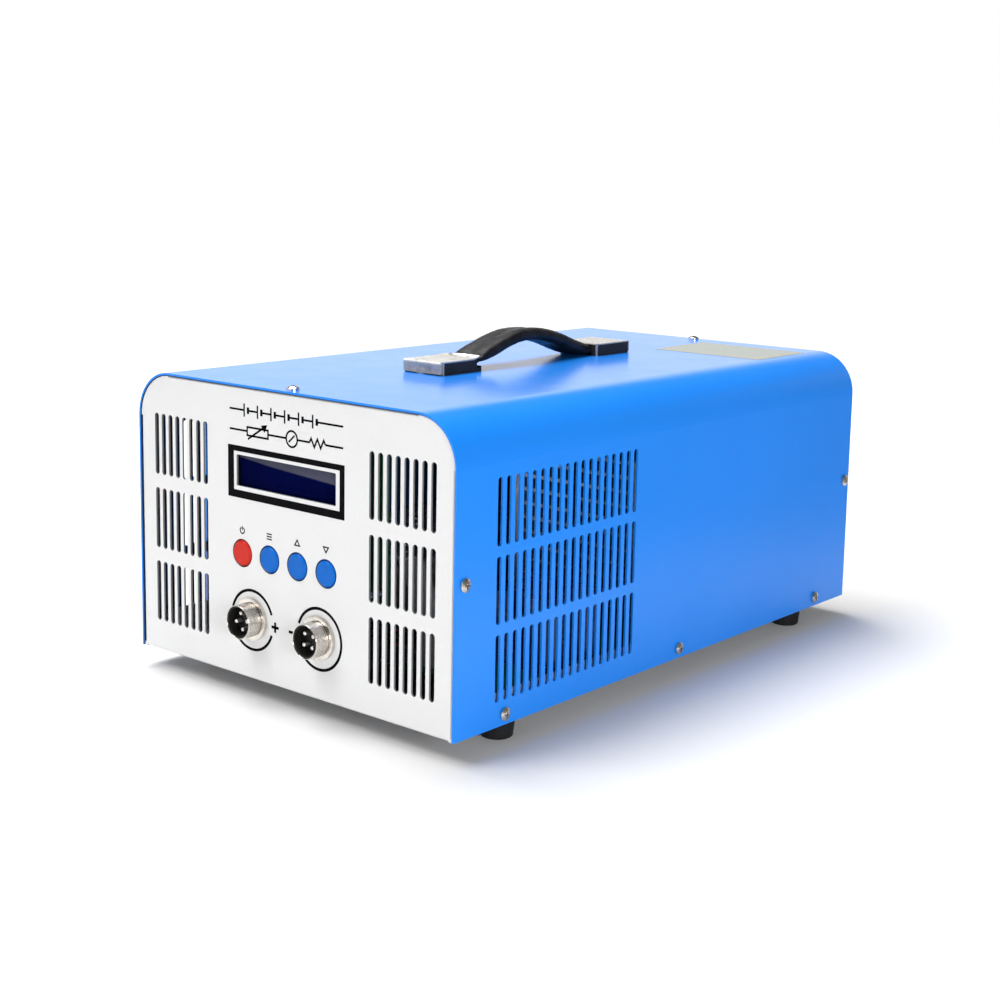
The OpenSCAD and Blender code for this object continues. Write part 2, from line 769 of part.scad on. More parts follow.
module control_board() {
    color(board_green) difference() {
        translate([0, 0, foot_h + control_z]) along_y(control_y, board_t) translate([-control_w / 2, 0])
            square([control_w, control_h]);
        stud_places() rod_y(screw_hole_d, control_y - 1, board_t + 2, $fn = 32);
    }
}

module control_studs() {
    color(nickel) stud_places() difference() {
        rod_y(stud_d, panel_back, control_y - panel_back, $fn = 32);
        rod_y(tap_d, control_y - 7, 9, $fn = 32);
    }
}

module control_screws() {
    color(steel) stud_places() translate([0, control_y + board_t, 0]) rotate([-90, 0, 0])
        pan_screw(shank_d, 6, 5.5, 1.9);
}

module key_switches() {
    color([0.15, 0.15, 0.16]) for (x = key_x) translate([x, 0, foot_h + key_z]) difference() {
        union() {
            along_y(control_y - switch_h, switch_h) rounded_rect(switch_w, switch_w, 0.8);
            rod_y(8, control_y - switch_h - 0.6, 1);
        }
        rod_y(key_stem_d + 0.6, control_y - switch_h - 2, 2 + key_depth + key_travel + 0.35);
    }
}

// One key at x: a domed cap with a flange behind the panel and a stem to its switch
module key_cap(x) {
    face_y = panel_y - key_proud;
    flange_y = panel_back + 0.4;
    stem_end = control_y - switch_h + key_depth;
    edge_r = 0.8;
    dome = 0.35;
    dome_r = (key_d * key_d / 4 + dome * dome) / (2 * dome);
    translate([x, 0, foot_h + key_z]) {
        intersection() {
            union() {
                rod_y(key_d - 2 * edge_r, face_y, edge_r + eps);
                translate([0, face_y + edge_r, 0]) rotate([-90, 0, 0]) rotate_extrude() {
                    intersection() {
                        translate([key_d / 2 - edge_r, 0]) circle(r = edge_r, $fn = 32);
                        translate([0, -edge_r]) square([key_d, edge_r]);
                    }
                    square([key_d / 2, flange_y - face_y - edge_r + 0.8]);
                }
            }
            translate([0, face_y + dome_r, 0]) sphere(r = dome_r, $fn = 128);
        }
        rod_y(key_flange_d, flange_y, 1.2);
        rod_y(key_stem_d, flange_y, stem_end - flange_y, $fn = 32);
    }
}

module key_start() {
    color([0.85, 0.15, 0.14]) key_cap(key_x[0]);
}

module key_set() {
    color([0.10, 0.38, 0.80]) key_cap(key_x[1]);
}

module key_up() {
    color([0.10, 0.38, 0.80]) key_cap(key_x[2]);
}

module key_down() {
    color([0.10, 0.38, 0.80]) key_cap(key_x[3]);
}

// Round four-pin sockets
module socket_places() {
    for (x = [-1, 1]) translate([x * socket_x, 0, foot_h + socket_z]) children();
}

// The inserts were fitted at different angles, so each socket has its own turn
module turned_socket_places() {
    for (i = [0, 1]) translate([(2 * i - 1) * socket_x, 0, foot_h + socket_z])
        rotate([0, -socket_turns[i], 0]) children();
}

module pin_places() {
    for (k = [0:3]) rotate([0, -45 - 90 * k, 0]) translate([pin_circle_d / 2, 0, 0]) children();
}

module socket_shells() {
    lip = 0.25;
    groove = 0.4;
    color(nickel) socket_places() difference() {
        union() {
            to_rear(socket_tip) cylinder(d1 = socket_d - 2 * lip, d2 = socket_d, h = lip);
            rod_y(socket_d, socket_tip + lip, socket_proud - lip - socket_flange_t);
            rod_y(socket_flange_d, panel_y - socket_flange_t, socket_flange_t);
            rod_y(socket_thread_d, panel_y - eps, socket_rear - panel_y);
        }
        rod_y(socket_mouth_d, socket_tip - 1, socket_mouth_l + 1);
        rod_y(socket_bore_d, socket_tip - 1, socket_rear - socket_tip + 2);
        to_rear(panel_y - socket_flange_t - 1) difference() {
            cylinder(d = socket_d + 4, h = 1);
            translate([0, 0, -1]) cylinder(d = socket_d - 2 * groove, h = 3);
        }
    }
}

// Each insert is a deep cup with the pins on its floor and a key rib on its wall
module socket_inserts() {
    play = 0.1;
    cup_d = socket_mouth_d - play - 1.2;
    cup_y = socket_tip + 0.6;
    key_w = 1.4;
    color(black_plastic) turned_socket_places() difference() {
        union() {
            rod_y(socket_mouth_d - play, cup_y, socket_tip + socket_mouth_l - play - cup_y);
            rod_y(socket_bore_d - play, insert_y, socket_rear - insert_y);
        }
        difference() {
            rod_y(cup_d, cup_y - 1, insert_y - cup_y + 1);
            translate([cup_d / 2 - 0.9, cup_y + 1, -key_w / 2]) cube([2, insert_y - cup_y, key_w]);
        }
        pin_places() rod_y(pin_d + 0.04, insert_y - 1, socket_rear - insert_y + 2, $fn = 32);
    }
}

module socket_pins() {
    pin_point = 0.6;
    color([0.86, 0.84, 0.78]) turned_socket_places() pin_places() difference() {
        union() {
            to_rear(pin_tip) cylinder(d1 = pin_d - 2 * pin_point, d2 = pin_d, h = pin_point, $fn = 32);
            rod_y(pin_d, pin_tip + pin_point - eps, pin_tail - pin_tip - pin_point, $fn = 32);
        }
        rod_y(pin_d - 0.7, pin_tail - 3, 4, $fn = 24);
    }
}

module socket_nuts() {
    color(nickel) socket_places() to_rear(panel_back) hex_nut(19, socket_thread_d + 0.1, 3);
}

// Inner leads
module positive_leads() {
    color([0.75, 0.06, 0.05]) for (route = positive_routes) lead(route, lead_d);
}

module negative_leads() {
    color([0.05, 0.05, 0.05]) for (route = negative_routes) lead(route, lead_d);
}

module ribbon_cable() {
    ribbon_w = 16;
    ribbon_t = 1;
    half_w = ribbon_w / 2;
    half_t = ribbon_t / 2;
    color([0.60, 0.60, 0.62]) difference() {
        translate([0, mid_y, 0]) sweep(spline(ribbon_route, 4),
            [[half_w, -half_t], [half_w, half_t], [-half_w, half_t], [-half_w, -half_t]], [1, 0, 0]);
        board_blank(0.05);
    }
}

module mains_leads() {
    colours = [[0.35, 0.18, 0.08], [0.10, 0.25, 0.65], [0.25, 0.60, 0.15]];
    for (i = [0:2]) color(colours[i]) lead(mains_routes[i], mains_lead_d);
}

module output_leads() {
    colours = [[0.75, 0.06, 0.05], [0.05, 0.05, 0.05]];
    for (i = [0:1]) color(colours[i]) lead(output_routes[i], lead_d);
}

// Load board
module board_support_places() {
    for (x = [main_x0 + 5, main_x0 + main_w - 19], y = [5, main_l / 2, main_l - 5])
        translate([x, main_y0 + y, 0]) children();
}

module main_board() {
    color(board_green) difference() {
        board_blank(0);
        board_support_places() translate([0, 0, main_z - 1])
            cylinder(d = screw_hole_d, h = board_t + 2, $fn = 32);
    }
}

module board_standoffs() {
    color([0.80, 0.62, 0.25]) board_support_places() translate([0, 0, floor_z]) difference() {
        cylinder(d = 5.5 / cos(30), h = main_z - floor_z, $fn = 6);
        translate([0, 0, 1]) cylinder(d = tap_d, h = main_z, $fn = 32);
    }
}

module board_screws() {
    color(steel) board_support_places() translate([0, 0, main_top]) pan_screw(shank_d, 6, 5.5, 1.9);
}

// Two combs of fins that stand on the board, face each other and make the air tunnel of the fan
module load_heatsinks() {
    fin_step = (heatsink_h - fin_t) / (heatsink_fins - 1);
    color(aluminium) translate([fan_x, 0, heatsink_z0]) for (side = [0, 1]) mirror([side, 0, 0])
        along_y(heatsink_y0, heatsink_l) {
            translate([-heatsink_half_w, main_top - heatsink_z0])
                square([heatsink_base_t, heatsink_h + heatsink_z0 - main_top]);
            for (i = [0:heatsink_fins - 1]) translate([-heatsink_half_w + heatsink_base_t - eps, i * fin_step])
                square([fin_l, fin_t]);
        }
}

module power_transistors() {
    body_w = 16;
    body_h = 21;
    body_t = 5;
    body_z = heatsink_z0 + 12;
    lead_w = 1.2;
    color([0.08, 0.08, 0.09]) translate([fan_x, 0, 0]) for (side = [0, 1], i = [0:3])
        mirror([side, 0, 0])
        translate([-heatsink_half_w - body_t, heatsink_y0 + 22 + i * transistor_pitch, 0]) difference() {
            union() {
                translate([0, -body_w / 2, body_z]) cube([body_t, body_w, body_h]);
                for (k = [-1:1]) translate([1.6, k * 5.4 - lead_w / 2, main_top])
                    cube([0.8, lead_w, body_z - main_top + eps]);
            }
            translate([-1, 0, body_z + body_h - 6]) rotate([0, 90, 0])
                cylinder(d = 3.6, h = body_t + 2, $fn = 32);
        }
}

module bulk_capacitors() {
    cap_place = [[64, -86], [64, -60], [86, -86], [86, -60]];
    can_d = 20;
    can_h = 34;
    color([0.08, 0.10, 0.22]) for (p = cap_place) translate([p[0], mid_y + p[1], main_top]) difference() {
        cylinder(d = can_d, h = can_h);
        translate([0, 0, 3]) rotate_extrude() translate([can_d / 2 + 0.4, 0]) circle(r = 1, $fn = 24);
        for (a = [0, 60, 120]) rotate(a) translate([-can_d * 0.36, -0.3, can_h - 0.4])
            cube([can_d * 0.72, 0.6, 1]);
    }
}

module toroid_chokes() {
    ring_d = 22;
    wire_d = 11;
    color([0.55, 0.28, 0.10]) for (y = [-82, -46]) translate([18, mid_y + y, main_top + wire_d / 2 + 0.02])
        rotate_extrude() translate([ring_d / 2, 0]) circle(d = wire_d, $fn = 32);
}

module relays() {
    color([0.10, 0.28, 0.62]) for (y = [-98, -74]) translate([37, mid_y + y, main_top]) cube([12, 19, 15.5]);
}

// Enclosed supply on the tray
module supply_chassis() {
    wall = chassis_t;
    color(aluminium) translate([supply_x0, supply_y0, floor_z]) {
        difference() {
            cube([supply_w, supply_l, supply_h - cage_t]);
            translate([wall, -1, wall]) cube([supply_w - 2 * wall, supply_l + 2, supply_h]);
        }
        for (x = [12, supply_w - 12], y = [14, supply_l / 2, supply_l - 16]) translate([x, y, wall - eps])
            cylinder(d = 7, h = supply_board_z - wall);
    }
}

module supply_cage() {
    wall = cage_t;
    seat_z = chassis_t;
    rows = 7;
    columns = 17;
    step = 10;
    color(steel) translate([supply_x0, supply_y0, floor_z]) difference() {
        union() {
            translate([0, 0, supply_h - wall]) cube([supply_w, supply_l - terminal_l, wall]);
            translate([2, 0, seat_z]) cube([supply_w - 4, wall, supply_h - wall - seat_z + eps]);
        }
        for (i = [0:columns - 1], j = [0:rows - 1])
            translate([14 + j * step, 12 + i * step, supply_h - wall - 1])
                cylinder(d = 5, h = wall + 2, $fn = 24);
    }
}

module supply_board() {
    color([0.55, 0.42, 0.20]) translate([supply_x0 + 4, supply_y0 + 6, floor_z + supply_board_z])
        cube([supply_w - 8, supply_l - 12, board_t]);
}

// Wound core and its two coil flanges
module supply_transformer() {
    core_w = 35;
    core_l = 32;
    core_h = 26;
    color([0.12, 0.12, 0.12]) translate([supply_x0 + 28, supply_y0 + 80, floor_z + supply_board_z + board_t]) {
        translate([0, 0, 3]) cube([core_w, core_l, core_h - 6]);
        for (z = [0, core_h - 3]) translate([-1.5, -1.5, z]) cube([core_w + 3, core_l + 3, 3]);
    }
}

module supply_terminals() {
    count = 7;
    step = 11;
    strip_h = 20.4;
    barrier_h = 9;
    strip_y = supply_y0 + supply_l - terminal_l + 1;
    color([0.10, 0.10, 0.11])
    translate([supply_x0 + 5, strip_y, floor_z + supply_board_z + board_t]) difference() {
        cube([count * step + 1, terminal_l - 3, strip_h]);
        for (i = [0:count - 1]) translate([1 + i * step, -1, strip_h - barrier_h])
            cube([step - 1, terminal_l, strip_h]);
    }
}

// Cooling fan
module fan_corner_places() {
    for (x = [-1, 1], z = [-1, 1])
        translate([fan_x + x * fan_hole_pitch / 2, 0, foot_h + fan_z + z * fan_hole_pitch / 2])
        children();
}

module fan_frame() {
    base_t = 4;
    axis_d = 3.1;
    strut_w = 3.5;
    wall_h = fan_depth / 2;
    color([0.06, 0.06, 0.06]) difference() {
        union() {
            translate([fan_x, 0, foot_h + fan_z]) difference() {
                along_y(fan_y, fan_depth) rounded_rect(fan_size, fan_size, 4);
                rod_y(fan_bore_d, fan_y - 1, fan_depth + 2, $fn = 96);
                for (a = [0:90:270]) rotate([0, a, 0])
                    translate([-fan_hole_pitch / 2 + 8, fan_y + 4, fan_size / 2 - 1.2])
                    cube([fan_hole_pitch - 16, fan_depth - 8, 5]);
            }
            translate([fan_x, 0, foot_h + fan_z]) {
                rod_y(fan_hub_d, rear_back - base_t, base_t);
                rod_y(8, rear_back - 16, 14);
                for (a = [30, 150, 270]) rotate([0, a, 0])
                    translate([fan_hub_d / 2 - 2, rear_back - 3, -strut_w / 2])
                    cube([fan_bore_d / 2 - fan_hub_d / 2 + 3, 3, strut_w]);
            }
        }
        fan_corner_places() rod_y(4.4, fan_y - 1, fan_depth + 2, $fn = 32);
        translate([fan_x, 0, foot_h + fan_z]) rod_y(axis_d, rear_back - 17, 14.5, $fn = 48);
    }
}

// A fan blade cut from a curved sheet that runs outwards along X
module fan_blade() {
    bow_r = 22;
    chord = 18;
    blade_t = 1.4;
    along_x(fan_hub_d / 2 - 1.2, (fan_bore_d - fan_hub_d) / 2)
    rotate(-36) translate([0, -bow_r]) intersection() {
        difference() {
            circle(r = bow_r);
            circle(r = bow_r - blade_t);
        }
        translate([-chord / 2, bow_r - 5]) square([chord, 6]);
    }
}

module fan_rotor() {
    hub_l = 18;
    hub_y = fan_y + 1.5;
    color([0.07, 0.07, 0.07]) translate([fan_x, 0, foot_h + fan_z]) {
        difference() {
            rod_y(fan_hub_d, hub_y, hub_l);
            rod_y(fan_hub_d - 3, hub_y + 1.5, hub_l);
        }
        rod_y(3, hub_y + 1, hub_l + 1.5, $fn = 48);
        difference() {
            for (k = [0:fan_blades - 1]) rotate([0, k * 360 / fan_blades, 0])
                translate([0, hub_y + hub_l / 2, 0]) fan_blade();
            translate([0, hub_y - 3, 0]) rotate([-90, 0, 0]) difference() {
                cylinder(d = fan_bore_d + 20, h = hub_l + 6);
                translate([0, 0, -1]) cylinder(d = fan_bore_d - 2, h = hub_l + 8, $fn = 96);
            }
        }
    }
}

// Wire guard: rings welded to a cross whose ends are flattened into eyelets
module fan_guard() {
    wire = 1.6;
    rings = 5;
    ring_step = 7;
    eyelet_d = 9;
    cross_l = fan_hole_pitch * sqrt(2);
    color(nickel) difference() {
        union() {
            translate([fan_x, rear_face, foot_h + fan_z]) {
                for (i = [1:rings]) rotate([-90, 0, 0]) translate([0, 0, wire * 1.4]) rotate_extrude($fn = 96)
                    translate([i * ring_step, 0]) circle(d = wire, $fn = 24);
                for (a = [45, 135]) rotate([0, a, 0])
                    translate([-cross_l / 2, wire / 2 + 0.02, 0]) rotate([0, 90, 0])
                    cylinder(d = wire, h = cross_l, $fn = 24);
            }
            fan_corner_places() rod_y(eyelet_d, rear_face + 0.02, 1.2);
        }
        fan_corner_places() {
            rod_y(4.6, rear_face - 1, 5, $fn = 32);
            rod_y(8.4, rear_face + 1.21, 3);
        }
    }
}

module fan_screws() {
    color(nickel) fan_corner_places() to_rear(rear_face + 1.22) pan_screw(4, 12, 7.6, 2.6);
}

// Mains inlet with its fuse drawer and rocker, heights from the middle of the inlet
rocker_z = 15.5;
rocker_w = 19;
fuse_z = 4.2;
fuse_w = 20;
fuse_h = 6.4;
plug_z = -10.5;
plug_w = 24.4;
plug_h = 16.4;
plug_depth = 17;
trunnion_d = 2.4;
trunnion_l = 1.25;
inlet_blade_places = [[-7, plug_z - 2.2], [7, plug_z - 2.2], [0, plug_z + 2.2]];

module inlet_origin() {
    translate([inlet_x, 0, foot_h + inlet_z]) children();
}

module inlet_housing() {
    ear_h = 14;
    corner_cut = 4;
    color(black_plastic) inlet_origin() difference() {
        union() {
            along_y(rear_face, inlet_bezel_t) {
                rounded_rect(inlet_w + 2.6, inlet_h, 2);
                rounded_rect(inlet_ear + 10, ear_h, 4);
            }
            along_y(inlet_front - inlet_body_l, inlet_body_l)
                square([inlet_w - 1, inlet_h - 7], center = true);
        }
        along_y(inlet_front - plug_depth, plug_depth + 1) translate([0, plug_z]) polygon([
            [-plug_w / 2, -plug_h / 2], [plug_w / 2, -plug_h / 2], [plug_w / 2, plug_h / 2 - corner_cut],
            [plug_w / 2 - corner_cut, plug_h / 2], [-plug_w / 2 + corner_cut, plug_h / 2],
            [-plug_w / 2, plug_h / 2 - corner_cut]]);
        along_y(inlet_front - 24, 25) translate([0, fuse_z])
            square([fuse_w + 0.3, fuse_h + 0.3], center = true);
        along_y(inlet_front - 13, 14) translate([0, rocker_z])
            square([rocker_w + 0.5, rocker_h + 0.6], center = true);
        rocker_trunnions(0.05);
        inlet_blade_boxes(0.05);
        for (x = [-1, 1]) translate([x * inlet_ear / 2, 0, 0]) {
            rod_y(3.4, rear_face - 1, inlet_bezel_t + 2, $fn = 32);
            to_rear(inlet_front - 1.7) cylinder(d1 = 3.4, d2 = 6.8, h = 1.7 + eps);
        }
    }
}

module inlet_blade_boxes(gap) {
    for (b = inlet_blade_places) translate([b[0] - 1 - gap, inlet_blade_tail, b[1] - 2 - gap])
        cube([2 + 2 * gap, inlet_body_l + 4.5, 4 + 2 * gap]);
}

module inlet_blades() {
    color([0.80, 0.78, 0.70]) inlet_origin() inlet_blade_boxes(0);
}

module inlet_screws() {
    color(nickel) inlet_origin() for (x = [-1, 1])
    translate([x * inlet_ear / 2, 0, 0]) to_rear(inlet_front - 1.7) difference() {
        union() {
            cylinder(d1 = 3.2, d2 = 6.6, h = 1.65);
            translate([0, 0, -9]) cylinder(d = 2.9, h = 9 + eps, $fn = 32);
        }
        for (a = [0, 90]) rotate(a) translate([-1.7, -0.45, 0.6]) cube([3.4, 0.9, 2]);
    }
}

module fuse_drawer() {
    color([0.09, 0.09, 0.10]) inlet_origin() translate([0, 0, fuse_z]) difference() {
        union() {
            along_y(inlet_front - 23, 23.6) square([fuse_w, fuse_h], center = true);
            along_y(inlet_front + 0.1, 1.2) rounded_rect(fuse_w + 1.6, fuse_h + 1.2, 0.6);
        }
        translate([-8.5, inlet_front - 20, -2]) cube([17, 17, 6]);
        translate([-fuse_w / 2 - 2, inlet_front + 0.9, -0.8]) cube([4.5, 2, 1.6]);
    }
}

// A glass fuse that lies in the drawer
module fuse() {
    color([0.82, 0.82, 0.78]) inlet_origin() translate([-8.2, inlet_front - 11, fuse_z + 0.4])
        rotate([0, 90, 0]) cylinder(d = 4.6, h = 16.4, $fn = 32);
}

// Round pivot of the rocker in the side walls of its pocket
module rocker_trunnions(gap) {
    half_l = rocker_w / 2 + trunnion_l + 2 * gap;
    translate([-half_l, inlet_front - rocker_back, rocker_z]) rotate([0, 90, 0])
        cylinder(r = trunnion_d / 2 + gap, h = 2 * half_l);
}

// The rocker rests with its lower half pressed in, and turns about X
module power_rocker() {
    half = rocker_h / 2 - 0.5;
    dip = 0.9;
    color([0.75, 0.08, 0.07]) inlet_origin() {
        rocker_trunnions(0);
        translate([0, inlet_front - rocker_back, rocker_z]) rotate([-rocker_turn / 2, 0, 0])
        along_x(-rocker_w / 2, rocker_w) polygon([
            [rocker_lip, -rocker_edge], [rocker_lip - dip, 0], [rocker_lip, rocker_edge], [rocker_lip - 0.6, half],
            [-2.4, half * 0.55], [-4.4, 1.6], [-4.4, -1.6], [-2.4, -half * 0.55], [rocker_lip - 0.6, -half]]);
    }
}

// Square link port for a computer lead
module link_port() {
    shell_t = 0.6;
    depth = 15;
    color(nickel) translate([link_x, 0, foot_h + link_z]) difference() {
        union() {
            along_y(rear_face - depth + 1, depth) square([12, 10.9], center = true);
            along_y(rear_back - 0.8, 0.8) square([15.6, 14.4], center = true);
        }
        along_y(rear_face - depth + 3, depth) translate([0, -0.4]) polygon([
            [-4.2, -3.9], [4.2, -3.9], [4.2, 2.2], [2.5, 3.9], [-2.5, 3.9], [-4.2, 2.2]]);
    }
}

module link_tongue() {
    color([0.90, 0.90, 0.88]) translate([link_x, 0, foot_h + link_z - 0.4])
        along_y(rear_face - 12, 11) square([5.6, 3.2], center = true);
}

top_cover();
front_panel();
rear_panel();
base_tray();
cover_screws();
panel_screws();
rubber_feet();
foot_screws();
foot_nuts();
handle_strap();
handle_cap_front();
handle_cap_rear();
handle_blocks();
handle_screws();
display_window();
display_glass();
display_bezel();
display_board();
control_board();
control_studs();
control_screws();
key_switches();
key_start();
key_set();
key_up();
key_down();
socket_shells();
socket_inserts();
socket_pins();
socket_nuts();
positive_leads();
negative_leads();
ribbon_cable();
main_board();
board_standoffs();
board_screws();
load_heatsinks();
power_transistors();
bulk_capacitors();
toroid_chokes();
relays();
supply_chassis();
supply_cage();
supply_board();
supply_transformer();
supply_terminals();
mains_leads();
output_leads();
fan_frame();
fan_rotor();
fan_guard();
fan_screws();
inlet_housing();
inlet_blades();
inlet_screws();
fuse_drawer();
fuse();
power_rocker();
link_port();
link_tongue();
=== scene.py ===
import json
import math

import bmesh
import bpy
from mathutils import Matrix, Vector, noise

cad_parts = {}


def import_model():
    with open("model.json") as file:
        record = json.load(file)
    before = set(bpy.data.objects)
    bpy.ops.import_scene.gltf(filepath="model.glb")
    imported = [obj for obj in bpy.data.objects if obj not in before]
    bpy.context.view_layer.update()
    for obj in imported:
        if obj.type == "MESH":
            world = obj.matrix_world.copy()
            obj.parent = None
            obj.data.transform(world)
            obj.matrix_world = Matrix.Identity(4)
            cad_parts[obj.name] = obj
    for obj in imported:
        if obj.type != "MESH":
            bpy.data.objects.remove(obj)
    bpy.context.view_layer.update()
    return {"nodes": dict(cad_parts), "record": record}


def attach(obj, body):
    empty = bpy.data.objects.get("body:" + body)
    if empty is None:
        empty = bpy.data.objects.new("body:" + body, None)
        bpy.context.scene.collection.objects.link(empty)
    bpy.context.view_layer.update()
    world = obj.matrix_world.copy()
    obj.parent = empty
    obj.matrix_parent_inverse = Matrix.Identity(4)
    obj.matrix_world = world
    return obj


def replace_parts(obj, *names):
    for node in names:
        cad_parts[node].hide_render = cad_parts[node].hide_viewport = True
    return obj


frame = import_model()

# Main places in the frame, in metres
MM = 0.001
FRONT_Y = -162.315 * MM
PANEL_Y = FRONT_Y + 0.5 * MM
TOP_Z = 147 * MM
MID_Y = 2.185 * MM
SOCKET_X = 22.2 * MM
SOCKET_Z = 38.9 * MM
KEY_Z = 68.7 * MM
KEY_PITCH = 18.4
KEY_X = [(-1.2 + (i - 1.5) * KEY_PITCH) * MM for i in range(4)]
PRINT_T = 0.06 * MM

# Camera, solved from case edges, screws and slots: place in metres, turns in degrees, lens in millimetres
CAMERA_PLACE = (0.53581, -0.647735, 0.24963)
AZIMUTH, ELEVATION, ROLL = 39.837, 9.052, 1.113
SENSOR_WIDTH = 36
FOCAL_LENGTH = 59.048
FRAME_SHIFT = (-0.01105, -0.07893)


def camera():
    """Camera with the photograph's place, direction and framing."""
    az, el, roll = math.radians(AZIMUTH), math.radians(ELEVATION), math.radians(ROLL)
    back = Vector((math.sin(az) * math.cos(el), -math.cos(az) * math.cos(el), math.sin(el)))
    level_right = (-back).cross(Vector((0, 0, 1))).normalized()
    level_up = level_right.cross(-back)
    right = math.cos(roll) * level_right + math.sin(roll) * level_up
    up = -math.sin(roll) * level_right + math.cos(roll) * level_up
    data = bpy.data.cameras.new("photo_camera")
    data.sensor_width = SENSOR_WIDTH
    data.lens = FOCAL_LENGTH
    data.shift_x, data.shift_y = FRAME_SHIFT
    data.clip_start = 0.01
    data.clip_end = 50
    obj = bpy.data.objects.new("photo_camera", data)
    bpy.context.scene.collection.objects.link(obj)
    rotation = Matrix((right, up, back)).transposed().to_4x4()
    obj.matrix_world = Matrix.Translation(CAMERA_PLACE) @ rotation
    bpy.context.scene.camera = obj


camera()


# Materials
class Nodes:
    """Builds one node material from short calls."""

    def __init__(self, name):
        self.mat = bpy.data.materials.new(name)
        self.mat.use_nodes = True
        self.tree = self.mat.node_tree
        self.shader = self.tree.nodes["Principled BSDF"]
        self.coords = self.add("ShaderNodeTexCoord").outputs["Object"]

    def add(self, kind, **values):
        node = self.tree.nodes.new(kind)
        for key, value in values.items():
            setattr(node, key, value)
        return node

    def link(self, a, b):
        self.tree.links.new(a, b)

    def scaled(self, vector, factors, shift=(0, 0, 0)):
        """The vector times the factors, plus the shift."""
        node = self.add("ShaderNodeVectorMath", operation="MULTIPLY_ADD")
        self.link(vector, node.inputs[0])
        node.inputs[1].default_value = factors
        node.inputs[2].default_value = shift
        return node.outputs["Vector"]

    def dot(self, a, b):
        """Dot product of two vectors, each an output or three numbers."""
        node = self.add("ShaderNodeVectorMath", operation="DOT_PRODUCT")
        for socket, value in ((node.inputs[0], a), (node.inputs[1], b)):
            if isinstance(value, bpy.types.NodeSocket):
                self.link(value, socket)
            else:
                socket.default_value = value
        return node.outputs["Value"]

    def noise(self, scale, detail=3.0, rough=0.5, stretch=None):
        node = self.add("ShaderNodeTexNoise")
        node.inputs["Scale"].default_value = scale
        node.inputs["Detail"].default_value = detail
        node.inputs["Roughness"].default_value = rough
        self.link(self.stretched(stretch), node.inputs["Vector"])
        return node.outputs["Fac"]

    def stretched(self, stretch):
        if stretch is None:
            return self.coords
        node = self.add("ShaderNodeMapping")
        node.inputs["Scale"].default_value = stretch
        self.link(self.coords, node.inputs["Vector"])
        return node.outputs["Vector"]

    def cells(self, scale):
        node = self.add("ShaderNodeTexVoronoi", feature="SMOOTH_F1")
        node.inputs["Scale"].default_value = scale
        self.link(self.coords, node.inputs["Vector"])
        return node.outputs["Distance"]

    def ranged(self, fac, low, high, out_low=0.0, out_high=1.0):
        """Carries low to high over to out_low to out_high, and holds the ends."""
        node = self.add("ShaderNodeMapRange")
        for key, value in (("From Min", low), ("From Max", high), ("To Min", out_low), ("To Max", out_high)):
            node.inputs[key].default_value = value
        self.link(fac, node.inputs["Value"])
        return node.outputs["Result"]

    def mix(self, fac, a, b):
        """Colour a where fac is 0 and b where it is 1."""
        node = self.add("ShaderNodeMix", data_type="RGBA")
        self.link(fac, node.inputs["Factor"])
        for socket, value in ((node.inputs[6], a), (node.inputs[7], b)):
            if isinstance(value, bpy.types.NodeSocket):
                self.link(value, socket)
            else:
                socket.default_value = (*value, 1)
        return node.outputs[2]

    def bump(self, height, distance, strength=1.0, under=None):
        node = self.add("ShaderNodeBump")
        node.inputs["Distance"].default_value = distance
        node.inputs["Strength"].default_value = strength
        self.link(height, node.inputs["Height"])
        if under is not None:
            self.link(under, node.inputs["Normal"])
        return node.outputs["Normal"]

    def set(self, **values):
        """Sets or links the shader's inputs and returns the material."""
        for key, value in values.items():
            socket = self.shader.inputs[key.replace("_", " ")]
            if isinstance(value, bpy.types.NodeSocket):
                self.link(value, socket)
            else:
                socket.default_value = value
        return self.mat


def painted(name, base, tone, coat, painted_shade_inside=None, painted_shade_walls=None):
    """Powder coat: soft patches of tone, tiny specks and an orange-peel grain.

    The interior colour is painted shade on faces turned toward the case's middle line, and the cut-out colour
    is painted shade on faces that look neither forward nor back, such as the sides of slots and holes.
    """
    n = Nodes(name)
    normals = n.add("ShaderNodeNewGeometry").outputs["Normal"]
    patches = n.ranged(n.noise(9, 3), 0.3, 0.7)
    specks = n.ranged(n.noise(2600, 2), 0.62, 0.72)
    dust = tuple(min(1.0, c * 1.12 + 0.012) for c in base)
    colour = n.mix(specks, n.mix(patches, base, tone), dust)
    # Painted shade: faces turned toward the case's middle line take a dark colour, standing in for the shade
    # of the case's interior.
    if painted_shade_inside:
        outward = n.dot(n.scaled(n.coords, (1, 0, 1), (0, 0, -0.075)), normals)
        colour = n.mix(n.ranged(outward, -0.065, -0.055, 1, 0), colour, painted_shade_inside)
    # Painted shade: faces looking neither forward nor back, the sides of slots and holes, take a dark grey,
    # standing in for shade in the cut-outs.
    if painted_shade_walls:
        facing = n.dot(n.scaled(normals, (0, 1, 0)), normals)
        colour = n.mix(n.ranged(facing, 0.1, 0.4, 1, 0), colour, painted_shade_walls)
    fine = n.bump(n.noise(2200, 3, 0.6), 0.00004)
    peel = n.bump(n.noise(420, 2), 0.000064, 0.6, fine)
    return n.set(
        Base_Color=colour, Roughness=n.ranged(n.noise(45, 4), 0.3, 0.7, 0.37, 0.48), Normal=peel,
        Coat_Weight=coat, Coat_Roughness=0.16, Coat_IOR=1.3, Specular_IOR_Level=0.1,
    )


